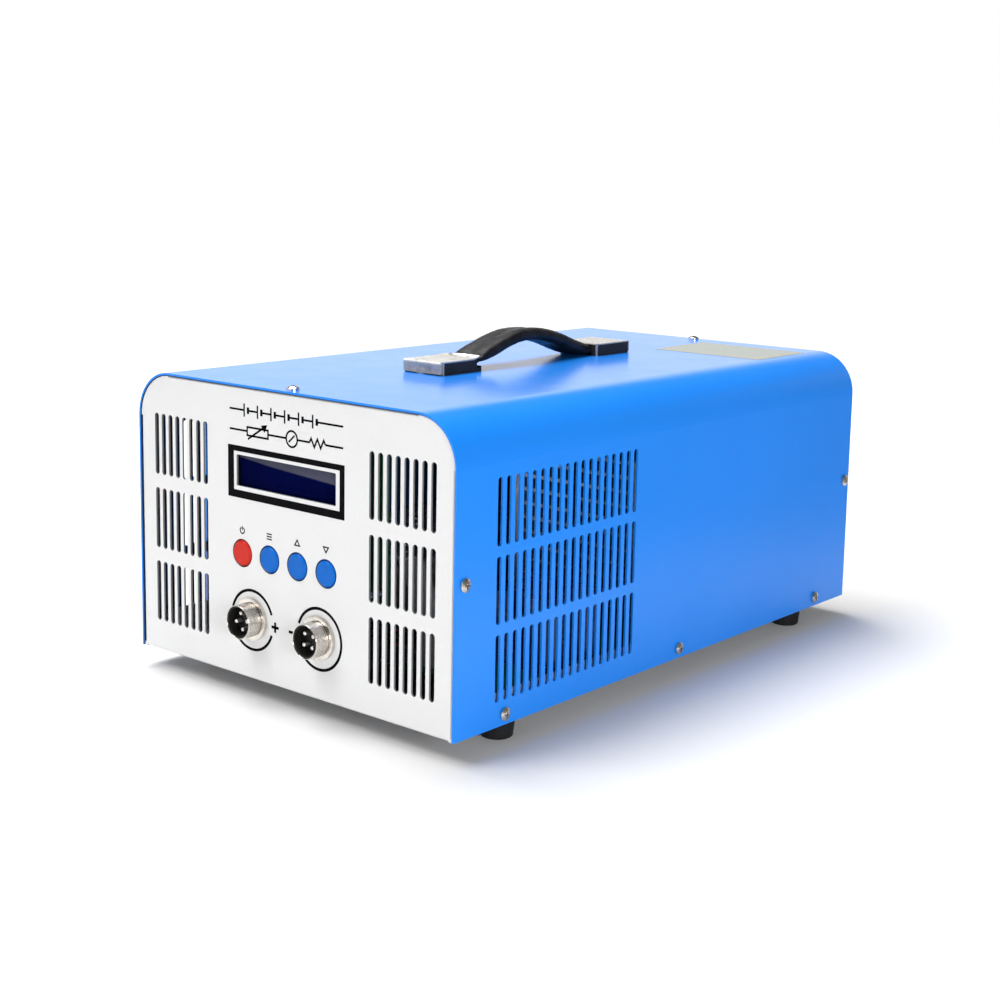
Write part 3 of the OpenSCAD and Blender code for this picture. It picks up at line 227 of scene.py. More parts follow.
def metal(name, base, dull, rough, stretch=(1, 1, 1), scratch=0.00002, dents=0.0, painted_dark_reflection=None):
    """Plated or bare metal with rubbed patches, fine scratches and an optional ripple.

    The optional two heights and tone turn the metal dull and grey below the lower height, fading back by the
    higher one: a painted reflection, standing in for the darker surroundings that part mirrors.
    """
    n = Nodes(name)
    worn = n.ranged(n.noise(160, 5, 0.65, stretch), 0.42, 0.68)
    colour = n.mix(worn, base, dull)
    bright = 1.0
    # Painted reflection: below the lower height the colour turns to a dull grey and the metal loses its shine.
    if painted_dark_reflection:
        low, high, tone = painted_dark_reflection
        parts = n.add("ShaderNodeSeparateXYZ")
        n.link(n.coords, parts.inputs[0])
        reflection_grey = n.mix(worn, tone, tuple(c * 0.55 for c in tone))
        colour = n.mix(n.ranged(parts.outputs["Z"], low, high, 1, 0), colour, reflection_grey)
        bright = n.ranged(parts.outputs["Z"], low, high, 0.1, 1.0)
    lines = n.noise(900, 4, 0.6, stretch)
    normal = n.bump(lines, scratch)
    if dents:
        normal = n.bump(n.noise(230, 2), dents, 1.0, normal)
    roughness = n.ranged(n.noise(240, 5, 0.7, stretch), 0.35, 0.7, rough[0], rough[1])
    return n.set(Base_Color=colour, Metallic=bright, Roughness=roughness, Normal=normal)


def moulded(name, base, tone, rough, grain=0.00003, scale=1400, coat=0.0, transmit=0.0, spec=0.3):
    """Moulded plastic or rubber with a fine spark-eroded grain."""
    n = Nodes(name)
    colour = n.mix(n.ranged(n.noise(70, 4), 0.35, 0.68), base, tone)
    roughness = n.ranged(n.noise(300, 4), 0.35, 0.7, rough[0], rough[1])
    normal = n.bump(n.noise(scale, 3, 0.6), grain)
    return n.set(
        Base_Color=colour, Roughness=roughness, Normal=normal, Coat_Weight=coat, Coat_Roughness=0.12,
        Transmission_Weight=transmit, Specular_IOR_Level=spec,
    )


def leatherette(name):
    """Black vinyl with a leather grain of small cells and rubbed high spots."""
    n = Nodes(name)
    cells = n.cells(1300)
    rub = n.ranged(n.noise(110, 4), 0.45, 0.75)
    colour = n.mix(rub, (0.006, 0.006, 0.008), (0.018, 0.017, 0.019))
    fine = n.bump(n.noise(3200, 2), 0.00002)
    normal = n.bump(n.ranged(cells, 0.0, 0.55), 0.00009, 0.8, fine)
    roughness = n.ranged(n.noise(260, 4), 0.35, 0.7, 0.36, 0.55)
    return n.set(Base_Color=colour, Roughness=roughness, Normal=normal, Specular_IOR_Level=0.18)


def ink(name, base, tone):
    """Screen-printed ink with faint mottling."""
    n = Nodes(name)
    colour = n.mix(n.ranged(n.noise(500, 4), 0.35, 0.7), base, tone)
    roughness = n.ranged(n.noise(800, 3), 0.3, 0.7, 0.42, 0.6)
    normal = n.bump(n.noise(2500, 2), 0.00001)
    return n.set(Base_Color=colour, Roughness=roughness, Normal=normal, Specular_IOR_Level=0.02)


def display(name):
    """Dark blue display glass, with a paler band along its upper edge painted in as a reflection."""
    n = Nodes(name)
    # Painted reflection: above a sloping line near the top, with a wavering edge, the glass turns pale
    # grey-blue.
    slope = n.dot(n.coords, (0.0754, 0, 1))
    edge = n.ranged(n.noise(40, 2), 0.3, 0.7, -0.0004, 0.0004)
    pale = n.add("ShaderNodeMath", operation="ADD")
    n.link(slope, pale.inputs[0])
    n.link(edge, pale.inputs[1])
    body = n.mix(n.ranged(n.noise(500, 3), 0.3, 0.7), (0.0006, 0.002, 0.034), (0.0012, 0.003, 0.042))
    colour = n.mix(n.ranged(pale.outputs[0], 0.1100, 0.1108), body, (0.085, 0.085, 0.120))
    roughness = n.ranged(n.noise(300, 3), 0.3, 0.7, 0.2, 0.28)
    return n.set(Base_Color=colour, Roughness=roughness, Specular_IOR_Level=0.0)


def clear(name, tint, rough, dusty=0.03, ior=1.46):
    """Clear window or tube with a trace of dust."""
    n = Nodes(name)
    colour = n.mix(n.ranged(n.noise(60, 3), 0.4, 0.7), tint, tuple(c * 0.97 for c in tint))
    roughness = n.ranged(n.noise(300, 4), 0.35, 0.75, rough, rough + dusty)
    return n.set(Base_Color=colour, Roughness=roughness, Transmission_Weight=1.0, IOR=ior)


def board(name, base, trace):
    """Circuit board: solder mask over a faint pattern of tracks."""
    n = Nodes(name)
    tracks = n.add("ShaderNodeTexBrick")
    tracks.inputs["Scale"].default_value = 60
    tracks.inputs["Mortar Size"].default_value = 0.012
    tracks.inputs["Color1"].default_value = (0, 0, 0, 1)
    tracks.inputs["Color2"].default_value = (0.15, 0.15, 0.15, 1)
    tracks.inputs["Mortar"].default_value = (1, 1, 1, 1)
    n.link(n.coords, tracks.inputs["Vector"])
    colour = n.mix(tracks.outputs["Color"], base, trace)
    roughness = n.ranged(n.noise(90, 3), 0.3, 0.7, 0.28, 0.42)
    return n.set(Base_Color=colour, Roughness=roughness, Normal=n.bump(tracks.outputs["Fac"], 0.00004))


BLUE = (0.010, 0.245, 0.90)
WHITE = (0.79, 0.79, 0.79)
NICKEL = ((0.70, 0.66, 0.61), (0.48, 0.45, 0.41))
# Painted reflection on the caps' flaps: heights above the cover and a dull grey tone standing in for the
# darker surroundings they mirror.
FLAP_PAINTED_REFLECTION = (TOP_Z + 4.8 * MM, TOP_Z + 6.0 * MM, (0.40, 0.36, 0.32))
BLACK = ((0.012, 0.012, 0.012), (0.02, 0.02, 0.02))
SOFT_SHEEN = (0.3, 0.4)
SLEEVE_SHEEN = (0.32, 0.45)
MATERIALS = {
    # The cover's interior faces are darkened as painted shade.
    "cover_paint": painted("cover_paint", BLUE, (0.008, 0.235, 0.87), 0.9, painted_shade_inside=(0.006, 0.035, 0.12)),
    # The sides of the panel's slots and holes are darkened as painted shade.
    "panel_paint": painted("panel_paint", WHITE, (0.775, 0.775, 0.78), 0.1, painted_shade_walls=(0.22, 0.22, 0.23)),
    "zinc_steel": metal("zinc_steel", (0.62, 0.63, 0.65), (0.47, 0.48, 0.50), (0.28, 0.46)),
    "nickel": metal("nickel", *NICKEL, (0.14, 0.32), scratch=0.00001),
    "pin_nickel": metal("pin_nickel", (0.88, 0.86, 0.82), (0.74, 0.72, 0.68), (0.3, 0.5)),
    "worn_nickel": metal(
        "worn_nickel", (0.80, 0.78, 0.74), (0.62, 0.59, 0.55), (0.24, 0.46), dents=0.00005, painted_dark_reflection=FLAP_PAINTED_REFLECTION
    ),
    "rubber_black": moulded(
        "rubber_black", (0.012, 0.012, 0.014), (0.022, 0.021, 0.022), (0.5, 0.68), 0.00005, 900, spec=0.15
    ),
    "strap_black": leatherette("strap_black"),
    "plastic_black": moulded(
        "plastic_black", (0.012, 0.012, 0.013), (0.021, 0.021, 0.022), (0.36, 0.5), 0.00004, spec=0.2
    ),
    "insulator_black": moulded("insulator_black", (0.006, 0.006, 0.006), (0.014, 0.013, 0.012), (0.4, 0.55)),
    "key_red": moulded(
        "key_red", (0.60, 0.03, 0.02), (0.57, 0.027, 0.018), SOFT_SHEEN, 0.00001, 1800, coat=0.12, spec=0.05
    ),
    "key_blue": moulded(
        "key_blue", (0.005, 0.135, 0.56), (0.005, 0.13, 0.54), SOFT_SHEEN, 0.00001, 1800, coat=0.12, spec=0.05
    ),
    "rocker_red": moulded(
        "rocker_red", (0.55, 0.02, 0.015), (0.50, 0.018, 0.012), (0.16, 0.26), 0.00001, 900,
        coat=0.4, transmit=0.25,
    ),
    "clear_window": clear("clear_window", (0.93, 0.95, 0.97), 0.0, 0.02, 1.02),
    "display_glass": display("display_glass"),
    "bezel_black": moulded("bezel_black", *BLACK, (0.35, 0.5)),
    "board_green": board("board_green", (0.012, 0.13, 0.05), (0.03, 0.24, 0.10)),
    "board_tan": board("board_tan", (0.35, 0.22, 0.08), (0.28, 0.17, 0.06)),
    "component_black": moulded(
        "component_black", (0.014, 0.014, 0.016), (0.03, 0.03, 0.03), (0.42, 0.6), 0.00004, 1000
    ),
    "capacitor_sleeve": moulded(
        "capacitor_sleeve", (0.012, 0.018, 0.09), (0.018, 0.025, 0.11), (0.2, 0.32), 0.00001, 600, coat=0.2
    ),
    "relay_blue": moulded("relay_blue", (0.02, 0.10, 0.42), (0.018, 0.09, 0.38), SOFT_SHEEN),
    "copper_wire": metal("copper_wire", (0.62, 0.22, 0.08), (0.45, 0.14, 0.05), (0.22, 0.36), dents=0.0003),
    "brass": metal("brass", (0.74, 0.54, 0.22), (0.58, 0.40, 0.15), (0.2, 0.36)),
    "aluminium": metal(
        "aluminium", (0.72, 0.73, 0.75), (0.58, 0.59, 0.61), (0.28, 0.44), (1, 0.04, 1), scratch=0.00003
    ),
    "lead_red": moulded("lead_red", (0.56, 0.018, 0.012), (0.48, 0.015, 0.01), SLEEVE_SHEEN, 0.00002, 700),
    "lead_black": moulded("lead_black", *BLACK, SLEEVE_SHEEN, 0.00002, 700),
    "lead_mains": moulded("lead_mains", (0.20, 0.07, 0.02), (0.17, 0.06, 0.018), SLEEVE_SHEEN, 0.00002, 700),
    "ribbon_grey": moulded("ribbon_grey", (0.42, 0.42, 0.44), (0.38, 0.38, 0.40), (0.35, 0.48), 0.00003, 500),
    "fuse_glass": clear("fuse_glass", (0.95, 0.96, 0.96), 0.02),
    "port_white": moulded("port_white", (0.78, 0.78, 0.75), (0.74, 0.74, 0.71), (0.35, 0.48)),
    "ink_black": ink("ink_black", (0.002, 0.002, 0.003), (0.005, 0.005, 0.006)),
    "label_silver": ink("label_silver", (0.38, 0.40, 0.38), (0.35, 0.37, 0.35)),
    "label_gold": ink("label_gold", (0.50, 0.42, 0.18), (0.46, 0.38, 0.15)),
}

for entry in frame["record"]["subparts"]:
    mesh = frame["nodes"][entry["node"]].data
    mesh.materials.clear()
    mesh.materials.append(MATERIALS[entry["material_slot"]])


# Mesh helpers
def piece(name, bm, material, body="case", smooth=None):
    """Turns a bmesh into an object that rides on a body and wears a material."""
    mesh = bpy.data.meshes.new(name)
    bmesh.ops.recalc_face_normals(bm, faces=bm.faces)
    bm.to_mesh(mesh)
    bm.free()
    mesh.materials.append(MATERIALS[material])
    obj = bpy.data.objects.new(name, mesh)
    bpy.context.scene.collection.objects.link(obj)
    if smooth is not None:
        for polygon in mesh.polygons:
            polygon.use_smooth = True
        mesh.set_sharp_from_angle(angle=math.radians(smooth))
    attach(obj, body)
    return obj


def grid(bm, rows, closed_u=False, closed_v=False, cap_ends=False):
    """Faces between rows of points; u runs along a row and v from row to row."""
    made = [[bm.verts.new(p) for p in row] for row in rows]
    count = len(made)
    for i in range(count if closed_v else count - 1):
        a, b = made[i], made[(i + 1) % count]
        width = len(a)
        for j in range(width if closed_u else width - 1):
            bm.faces.new((a[j], a[(j + 1) % width], b[(j + 1) % width], b[j]))
    if cap_ends:
        bm.faces.new(made[0][::-1])
        bm.faces.new(made[-1])


def on_panel(points):
    """Plane points in millimetres from the panel's middle and from the ground, on the front panel."""
    return [Vector((x * MM, PANEL_Y - PRINT_T, z * MM)) for x, z in points]


def flat_strip(bm, inner, outer, closed=False):
    """A thin printed band between two lines of plane points."""
    front = [on_panel([a, b]) for a, b in zip(inner, outer)]
    rows = []
    for a, b in front:
        deep = Vector((0, PRINT_T + 0.01 * MM, 0))
        rows.append([a, b, b + deep, a + deep])
    grid(bm, rows, closed_u=True, closed_v=closed, cap_ends=not closed)


def stroke(bm, points, width, closed=False):
    """A printed line of even width with mitred corners."""
    pts = [Vector((*p, 0)) for p in points]
    count = len(pts)
    inner, outer = [], []
    for i, p in enumerate(pts):
        before = pts[i - 1] if i > 0 or closed else None
        after = pts[(i + 1) % count] if i < count - 1 or closed else None
        sides = []
        for a, b in ((before, p), (p, after)):
            if a is not None and b is not None:
                d = (b - a).normalized()
                sides.append(Vector((-d.y, d.x, 0)))
        normal = sum(sides, Vector()).normalized()
        reach = width / 2 / max(0.35, normal.dot(sides[0]))
        inner.append((p - normal * reach).to_2d())
        outer.append((p + normal * reach).to_2d())
    flat_strip(bm, inner, outer, closed)


def arc(cx, cz, r, start, end, steps=64):
    """Points along a circle, from one angle in degrees to another."""
    angles = [math.radians(start + (end - start) * i / steps) for i in range(steps + 1)]
    return [(cx + r * math.cos(a), cz + r * math.sin(a)) for a in angles]


def rectangle(x0, z0, x1, z1):
    return [(x0, z0), (x1, z0), (x1, z1), (x0, z1)]


# Print on the front panel, in millimetres from its middle line and from the ground
FRAME_OUTSIDE = (-38.3, 94.4, 37.9, 118.6)
FRAME_INSIDE = (-34.3, 98, 34.9, 116)
RING_R, RING_Z, RING_LINE, RING_OPENING = 13.97, 38.2, 1.35, 20
POLE_Z, POLE_LINE = 37.7, 1.3
SIGN_Z, SIGN_LINE = 79.4, 0.6
CIRCUIT_END, CIRCUIT_LINE = 37, 0.9
CELLS_Z, CELLS_START, CELL_PITCH, CELL_GAP, CELL_COUNT = 135.4, -27, 9.0, 2.6, 6
LOAD_Z = 126


def socket_marks(bm):
    """Rings round the sockets, each open on the side that faces the other, with plus and minus."""
    side = SOCKET_X / MM
    stroke(bm, arc(-side, RING_Z, RING_R, RING_OPENING, 360 - RING_OPENING), RING_LINE)
    stroke(bm, arc(side, RING_Z, RING_R, RING_OPENING - 180, 180 - RING_OPENING), RING_LINE)
    stroke(bm, [(-9.1, POLE_Z), (-4.3, POLE_Z)], POLE_LINE)
    stroke(bm, [(-6.7, POLE_Z - 2.4), (-6.7, POLE_Z + 2.4)], POLE_LINE)
    stroke(bm, [(2.4, POLE_Z), (6.0, POLE_Z)], POLE_LINE)


def key_signs(bm):
    """Signs over the keys: start, settings, up and down."""
    start, settings, up, down = (x / MM for x in KEY_X)
    stroke(bm, arc(start, SIGN_Z, 1.45, 120, 420, 24), SIGN_LINE)
    stroke(bm, [(start, SIGN_Z + 0.2), (start, SIGN_Z + 2.0)], SIGN_LINE)
    for k in (-1.2, 0, 1.2):
        stroke(bm, [(settings - 1.7, SIGN_Z + k), (settings + 1.7, SIGN_Z + k)], SIGN_LINE)
    raised = [(up - 1.6, SIGN_Z - 1.0), (up + 1.6, SIGN_Z - 1.0), (up, SIGN_Z + 1.5)]
    lowered = [(down - 1.6, SIGN_Z + 1.3), (down, SIGN_Z - 1.2), (down + 1.6, SIGN_Z + 1.3)]
    stroke(bm, raised, SIGN_LINE, closed=True)
    stroke(bm, lowered, SIGN_LINE, closed=True)


def circuit_signs(bm):
    """Circuit signs over the display: a row of cells, and a variable load with its meter and a resistor."""
    z = CELLS_Z
    stroke(bm, [(-CIRCUIT_END, z), (CELLS_START, z)], CIRCUIT_LINE)
    for i in range(CELL_COUNT):
        long_plate = CELLS_START + i * CELL_PITCH
        short_plate = long_plate + CELL_GAP
        reach = long_plate + CELL_PITCH if i < CELL_COUNT - 1 else CIRCUIT_END
        stroke(bm, [(long_plate, z - 3.0), (long_plate, z + 3.0)], CIRCUIT_LINE)
        stroke(bm, [(short_plate, z - 1.5), (short_plate, z + 1.5)], 1.5)
        stroke(bm, [(short_plate, z), (reach, z)], CIRCUIT_LINE)
    z = LOAD_Z
    stroke(bm, [(-CIRCUIT_END, z), (-25, z)], CIRCUIT_LINE)
    stroke(bm, rectangle(-25, z - 1.9, -11, z + 1.9), CIRCUIT_LINE, closed=True)
    stroke(bm, [(-24.5, z - 3.6), (-12.5, z + 3.6)], CIRCUIT_LINE)
    stroke(bm, [(-15.4, z + 3.2), (-12.3, z + 3.7), (-13.6, z + 0.9)], CIRCUIT_LINE)
    stroke(bm, [(-11, z), (1, z)], CIRCUIT_LINE)
    stroke(bm, arc(4.6, z, 3.6, 0, 360, 40)[:-1], CIRCUIT_LINE, closed=True)
    stroke(bm, [(2.6, z - 1.6), (6.4, z + 1.7)], 0.8)
    stroke(bm, [(8.2, z), (16, z)], CIRCUIT_LINE)
    turns = [(17 + 2 * k, z + (1.9 if k % 2 == 0 else -1.9)) for k in range(5)]
    stroke(bm, [(16, z), *turns, (26, z)], CIRCUIT_LINE)
    stroke(bm, [(26, z), (CIRCUIT_END, z)], CIRCUIT_LINE)


def panel_print():
    bm = bmesh.new()
    flat_strip(bm, rectangle(*FRAME_INSIDE), rectangle(*FRAME_OUTSIDE), closed=True)
    socket_marks(bm)
    key_signs(bm)
    circuit_signs(bm)
    piece("panel_print", bm, "ink_black")


panel_print()


# Bare label on the cover, behind the handle
LABEL_X = (14 * MM, 81 * MM)
LABEL_Y = (101.25 * MM, 150.75 * MM)
LABEL_R = 2 * MM
LABEL_T = 0.14 * MM
BORDER = (1.6 * MM, 2.5 * MM)
BORDER_T = 0.02 * MM


def label_outline(inset, z):
    """Rounded rectangle of the label, drawn in by the inset."""
    (x0, x1), (y0, y1) = LABEL_X, LABEL_Y
    r = LABEL_R - inset * 0.5
    points = []
    for cx, cy, start in ((x1, y1, 0), (x0, y1, 90), (x0, y0, 180), (x1, y0, 270)):
        x = cx + (-1 if cx == x1 else 1) * (inset + r)
        y = cy + (-1 if cy == y1 else 1) * (inset + r)
        for k in range(7):
            a = math.radians(start + 15 * k)
            points.append(Vector((x + r * math.cos(a), y + r * math.sin(a), z)))
    return points


def top_label():
    z = TOP_Z + LABEL_T
    bm = bmesh.new()
    rows = [label_outline(0, TOP_Z), label_outline(0, z - 0.03 * MM), label_outline(0.05 * MM, z)]
    grid(bm, rows, closed_u=True, cap_ends=True)
    piece("cover_label", bm, "label_silver")
    bm = bmesh.new()
    outer, inner = BORDER
    corners = ((outer, -BORDER_T), (outer, BORDER_T), (inner, BORDER_T), (inner, -BORDER_T))
    grid(bm, [label_outline(inset, z + rise) for inset, rise in corners], closed_u=True, closed_v=True)
    piece("label_border", bm, "label_gold")


top_label()


# Carry handle, in millimetres from the point on the cover midway between its caps
HANDLE = Vector((0.65, MID_Y / MM, TOP_Z / MM))
CAP_PITCH, CAP_L, CAP_W, CAP_H, CAP_T, CAP_R = 122.8, 29.5, 24.7, 6.5, 0.6, 1.0
LIP_R = 11
FLAP_FOOT = 0.3
TAIL_Z, TAIL_T, TAIL_W, STRAP_W, STRAP_T, STRAP_RISE = 3.85, 3.95, 18.4, 19, 6.6, 10.8

# The strap's offset to the right at its front and rear, and what its front tail is drawn in by
STRAP_SIDE = (3.1, -0.85)
STRAP_INSET = 0.8

# Place along the handle, share of the rise, width, thickness and tilt
STRAP_STATIONS = [
    (-60, 0, TAIL_W, TAIL_T, 0), (-52, 0, TAIL_W, TAIL_T, 0), (-49, 0.015, TAIL_W, 3.3, 0),
    (-46.5, 0.145, TAIL_W, 3.0, 0), (-44, 0.245, STRAP_W, 4.75, 0.5), (-40, 0.355, STRAP_W, 5.94, 1),
    (-34.5, 0.49, STRAP_W, STRAP_T, 1.5), (-24.5, 0.763, STRAP_W, STRAP_T, 2.2),
    (-14.5, 0.953, STRAP_W, STRAP_T, 2.8), (-6.5, 1, STRAP_W, STRAP_T, 3.2),
    (1.5, 0.969, STRAP_W, STRAP_T, 3.2), (11.5, 0.828, STRAP_W, STRAP_T, 3.2),
    (21.5, 0.585, STRAP_W, STRAP_T, 3.2), (31.5, 0.268, STRAP_W, STRAP_T, 3.2),
    (39.5, 0.046, STRAP_W, 6.4, 3), (43, -0.025, STRAP_W, 5.68, 2.4),
    (47, -0.09, STRAP_W, 4.75, 1), (51.5, 0, TAIL_W, TAIL_T, 0), (60, 0, TAIL_W, TAIL_T, 0),
]


def between(p, q, r, s, t):
    """Smooth curve from q to r with p before and s after them."""
    square = 2 * p - 5 * q + 4 * r - s
    cube = 3 * q - p - 3 * r + s
    return 0.5 * (2 * q + (r - p) * t + square * t * t + cube * t ** 3)


def spline(points, steps):
    """Smooth rows of numbers through the given ones."""
    def held(i):
        return points[max(0, min(len(points) - 1, i))]

    rows = []
    for i in range(len(points) - 1):
        near = (held(i - 1), held(i), held(i + 1), held(i + 2))
        for k in range(steps):
            rows.append([between(*numbers, k / steps) for numbers in zip(*near)])
    rows.append(list(points[-1]))
    return rows


def strap_section(w, t, y, a):
    """Point at angle a of the strap's section: soft edges, a crease in a valley, folds where it is thick."""
    c, s = math.cos(a), math.sin(a)
    x = w / 2 * math.copysign(abs(c) ** 0.58, c)
    z = t / 2 * math.copysign(abs(s) ** 0.62, s)
    if abs(s) > 0.2:
        valley = 0.35 * max(0.0, 1 - (x / (0.3 * w)) ** 2) ** 2
        crease = 0.5 * math.exp(-((x - 0.8) / 0.9) ** 2)
        z -= math.copysign(valley + crease, s)
    free = max(0.0, min(1.0, (t - 4.0) / 2.2))
    fold = noise.noise(Vector((x * 0.16, y * 0.5, 3.0 if s > 0 else 7.0)))
    fold += 0.6 * noise.noise(Vector((x * 0.5, y * 0.22, 11.0)))
    return x, z + math.copysign(free * (0.13 * fold - 0.1), s)


def strap():
    """Soft vinyl over a core, with a rolled bead along each edge and a shallow valley between them."""
    around = 96
    stations = spline(STRAP_STATIONS, 7)
    front_side, rear_side = STRAP_SIDE
    path = []
    for y, rise, *_ in stations:
        share = max(0.0, min(1.0, (y + 46) / 93))
        inset = max(0.0, min(STRAP_INSET, (-46 - y) / 5))
        side = front_side + (rear_side - front_side) * share - inset
        path.append(Vector((side, y, TAIL_Z + STRAP_RISE * rise)))
    rows = []
    for i, (y, _, w, t, tilt) in enumerate(stations):
        along = (path[min(len(path) - 1, i + 1)] - path[max(0, i - 1)]).normalized()
        up = Vector((-math.sin(math.radians(tilt)), 0, math.cos(math.radians(tilt))))
        right = along.cross(up).normalized()
        up = right.cross(along)
        row = []
        for k in range(around):
            x, z = strap_section(w, t, y, 2 * math.pi * k / around)
            row.append((HANDLE + path[i] + right * x + up * z) * MM)
        rows.append(row)
    bm = bmesh.new()
    grid(bm, rows, closed_u=True, cap_ends=True)
    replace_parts(piece("strap_cover", bm, "strap_black", smooth=60), "handle_strap")


def sheet(bm, rows, thickness):
    """A bent sheet from rows of millimetre points on its outer side, wound so that normals point inwards."""
    count = len(rows)
    width = len(rows[0])
    normals = []
    for i in range(count):
        line = []
        for j in range(width):
            u = rows[i][min(width - 1, j + 1)] - rows[i][max(0, j - 1)]
            v = rows[min(count - 1, i + 1)][j] - rows[max(0, i - 1)][j]
            line.append(u.cross(v).normalized())
        normals.append(line)
    loop = []
    for row, normal in zip(rows, normals):
        outer = [p * MM for p in row]
        inner = [(p + n * thickness) * MM for p, n in zip(row, normal)]
        loop.append(outer + inner[::-1])
    grid(bm, loop, closed_u=True, cap_ends=True)


def cap_profile(curl, short):
    """Side view of a cap's sheet: up the flap, round the bend, along the top and up at its mouth."""
    bend_z = CAP_H - CAP_R
    profile = [(CAP_L / 2, FLAP_FOOT + (bend_z - FLAP_FOOT) * k / 8) for k in range(9)]
    for k in range(1, 7):
        a = math.radians(15 * k)
        profile.append((CAP_L / 2 - CAP_R + CAP_R * math.cos(a), bend_z + CAP_R * math.sin(a)))
    flat = CAP_L - CAP_R - curl - short
    profile += [(CAP_L / 2 - CAP_R - flat * k / 14, CAP_H) for k in range(1, 15)]
    for k in range(1, 9):
        y = curl * k / 8
        profile.append((-CAP_L / 2 + short + curl - y, CAP_H + LIP_R - math.sqrt(LIP_R ** 2 - y * y)))
    return profile


def bruised_flap(x, y, z, sink, share):
    """Point of a cap's flap, with three knocks in it and a wavy lower edge."""
    knocks = 0.32 * math.exp(-((x - 0.5) / 1.3) ** 2 - ((z - 3.4) / 1.0) ** 2)
    knocks += 0.24 * math.exp(-((x + 5.2) / 2.6) ** 2 - ((z - 2.8) / 1.4) ** 2)
    knocks += 0.2 * math.exp(-((x - 6.0) / 3.0) ** 2 - ((z - 2.6) / 1.5) ** 2)
    low = 1 - (z - FLAP_FOOT) / (CAP_H - CAP_R - FLAP_FOOT)
    wave = 0.25 - 0.5 * math.exp(-((x + 1.0) / 2.3) ** 2)
    return y - sink - knocks * share, z + low * wave


def cap_tab(bm, side, y):
    """Narrow tab folded down at one side of a cap's mouth."""
    tab = []
    for i in range(9):
        z = (CAP_H - 0.35) * (1 - i / 8)
        lean = 0.25 * (i / 8) ** 2
        out = CAP_W / 2 - 0.05 - 0.12 * math.sin(math.pi * i / 8)
        tab.append([HANDLE + Vector((side * out, y + lean + 1.4 * j / 4, z)) for j in range(5)])
    sheet(bm, tab if side > 0 else [row[::-1] for row in tab], CAP_T)


def cap(name, node, middle, closed, curl, short, seed):
    """Thin folded cap whose closed end is at the front (-1) or the rear (1), bruised by use."""
    across = 48
    rows = []
    travelled = 0.0
    profile = cap_profile(curl, short)
    for i, (y, z) in enumerate(profile):
        if i:
            travelled += math.dist(profile[i - 1], (y, z))
        row = []
        for j in range(across + 1):
            x = CAP_W / 2 - CAP_W * j / across
            edge = min(1.0, (CAP_W / 2 - abs(x)) / 1.2)
            dent = 0.05 * noise.noise(Vector((x * 0.35, travelled * 0.4, seed)))
            dent += 0.03 * noise.noise(Vector((x * 0.9, travelled * 1.1, seed + 4)))
            sink = 0.09 + edge * (0.06 + dent)
            if z < CAP_H - CAP_R:
                py, pz = bruised_flap(x, y, z, sink, 1.0 if closed < 0 else 0.5)
            elif i < 15:
                py, pz = y - sink * 0.7, z - sink * 0.7
            else:
                py, pz = y, z - sink - 0.65 * (z - CAP_H) * max(0.0, -2 * x / CAP_W) ** 1.5
            row.append(HANDLE + Vector((x, middle + closed * py, pz)))
        rows.append(row)
    bm = bmesh.new()
    sheet(bm, rows[::-1] if closed > 0 else rows, CAP_T)
    tab_y = middle - CAP_L / 2 + (CAP_T + 0.5 if closed < 0 else 0)
    for side in (-1, 1):
        cap_tab(bm, side, tab_y)
    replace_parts(piece(name, bm, "worn_nickel", smooth=40), node)


strap()
cap("cap_shell_front", "handle_cap_front", -CAP_PITCH / 2, -1, 5.5, 1.5, 2.0)
cap("cap_shell_rear", "handle_cap_rear", CAP_PITCH / 2, 1, 2.2, 0, 9.0)


# Round sockets, in millimetres: turned shell with a cut thread, a flange and a rolled lip
SHELL_TIP = -170.815
SHELL_BORE, THREAD_R, FLANGE_R = 7.1, 8.0, 10.2
THREAD_PITCH, THREAD_DEPTH = 1.0, 0.16
PANEL = PANEL_Y / MM
FLANGE = PANEL - 1.8
SHELL_REAR = PANEL + 12.0


def shell_profile():
    """Radius, place and share of the thread's depth, from the bore over the lip to the rear."""
    tip = SHELL_TIP
    profile = [(SHELL_BORE, tip + 5.8, 0), (7.45, tip + 5.8, 0), (7.45, tip + 0.2, 0), (7.52, tip + 0.05, 0)]
    profile += [(7.62, tip, 0), (7.76, tip + 0.05, 0), (7.87, tip + 0.25, 0), (7.87, tip + 0.7, 0)]
    thread_from = tip + 0.75
    thread_to = FLANGE - 0.45
    steps = 44
    for i in range(steps + 1):
        y = thread_from + (thread_to - thread_from) * i / steps
        profile.append((THREAD_R, y, min(1.0, i / 4, (steps - i) / 4)))
    profile += [(7.7, FLANGE - 0.3, 0), (7.7, FLANGE, 0), (9.9, FLANGE, 0), (10.14, FLANGE + 0.12, 0)]
    profile += [(FLANGE_R, FLANGE + 0.35, 0), (FLANGE_R, FLANGE + 1.45, 0), (10.1, FLANGE + 1.7, 0)]
    profile += [(9.9, PANEL - 0.01, 0), (7.8, PANEL - 0.01, 0), (7.8, SHELL_REAR, 0)]
    return profile + [(SHELL_BORE, SHELL_REAR, 0)]


def socket_shell(name, x):
    around = 96
    rows = []
    for radius, y, cut in shell_profile():
        row = []
        for k in range(around):
            a = 2 * math.pi * k / around
            phase = (y / THREAD_PITCH + k / around) % 1.0
            r = radius - cut * THREAD_DEPTH * (1 - abs(2 * phase - 1))
            row.append(Vector((x / MM + r * math.cos(a), y, SOCKET_Z / MM + r * math.sin(a))) * MM)
        rows.append(row)
    bm = bmesh.new()
    grid(bm, rows, closed_u=True, closed_v=True)
    return piece(name, bm, "nickel", smooth=40)


shells = [socket_shell("socket_barrel_left", -SOCKET_X), socket_shell("socket_barrel_right", SOCKET_X)]
for shell in shells:
    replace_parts(shell, "socket_shells")


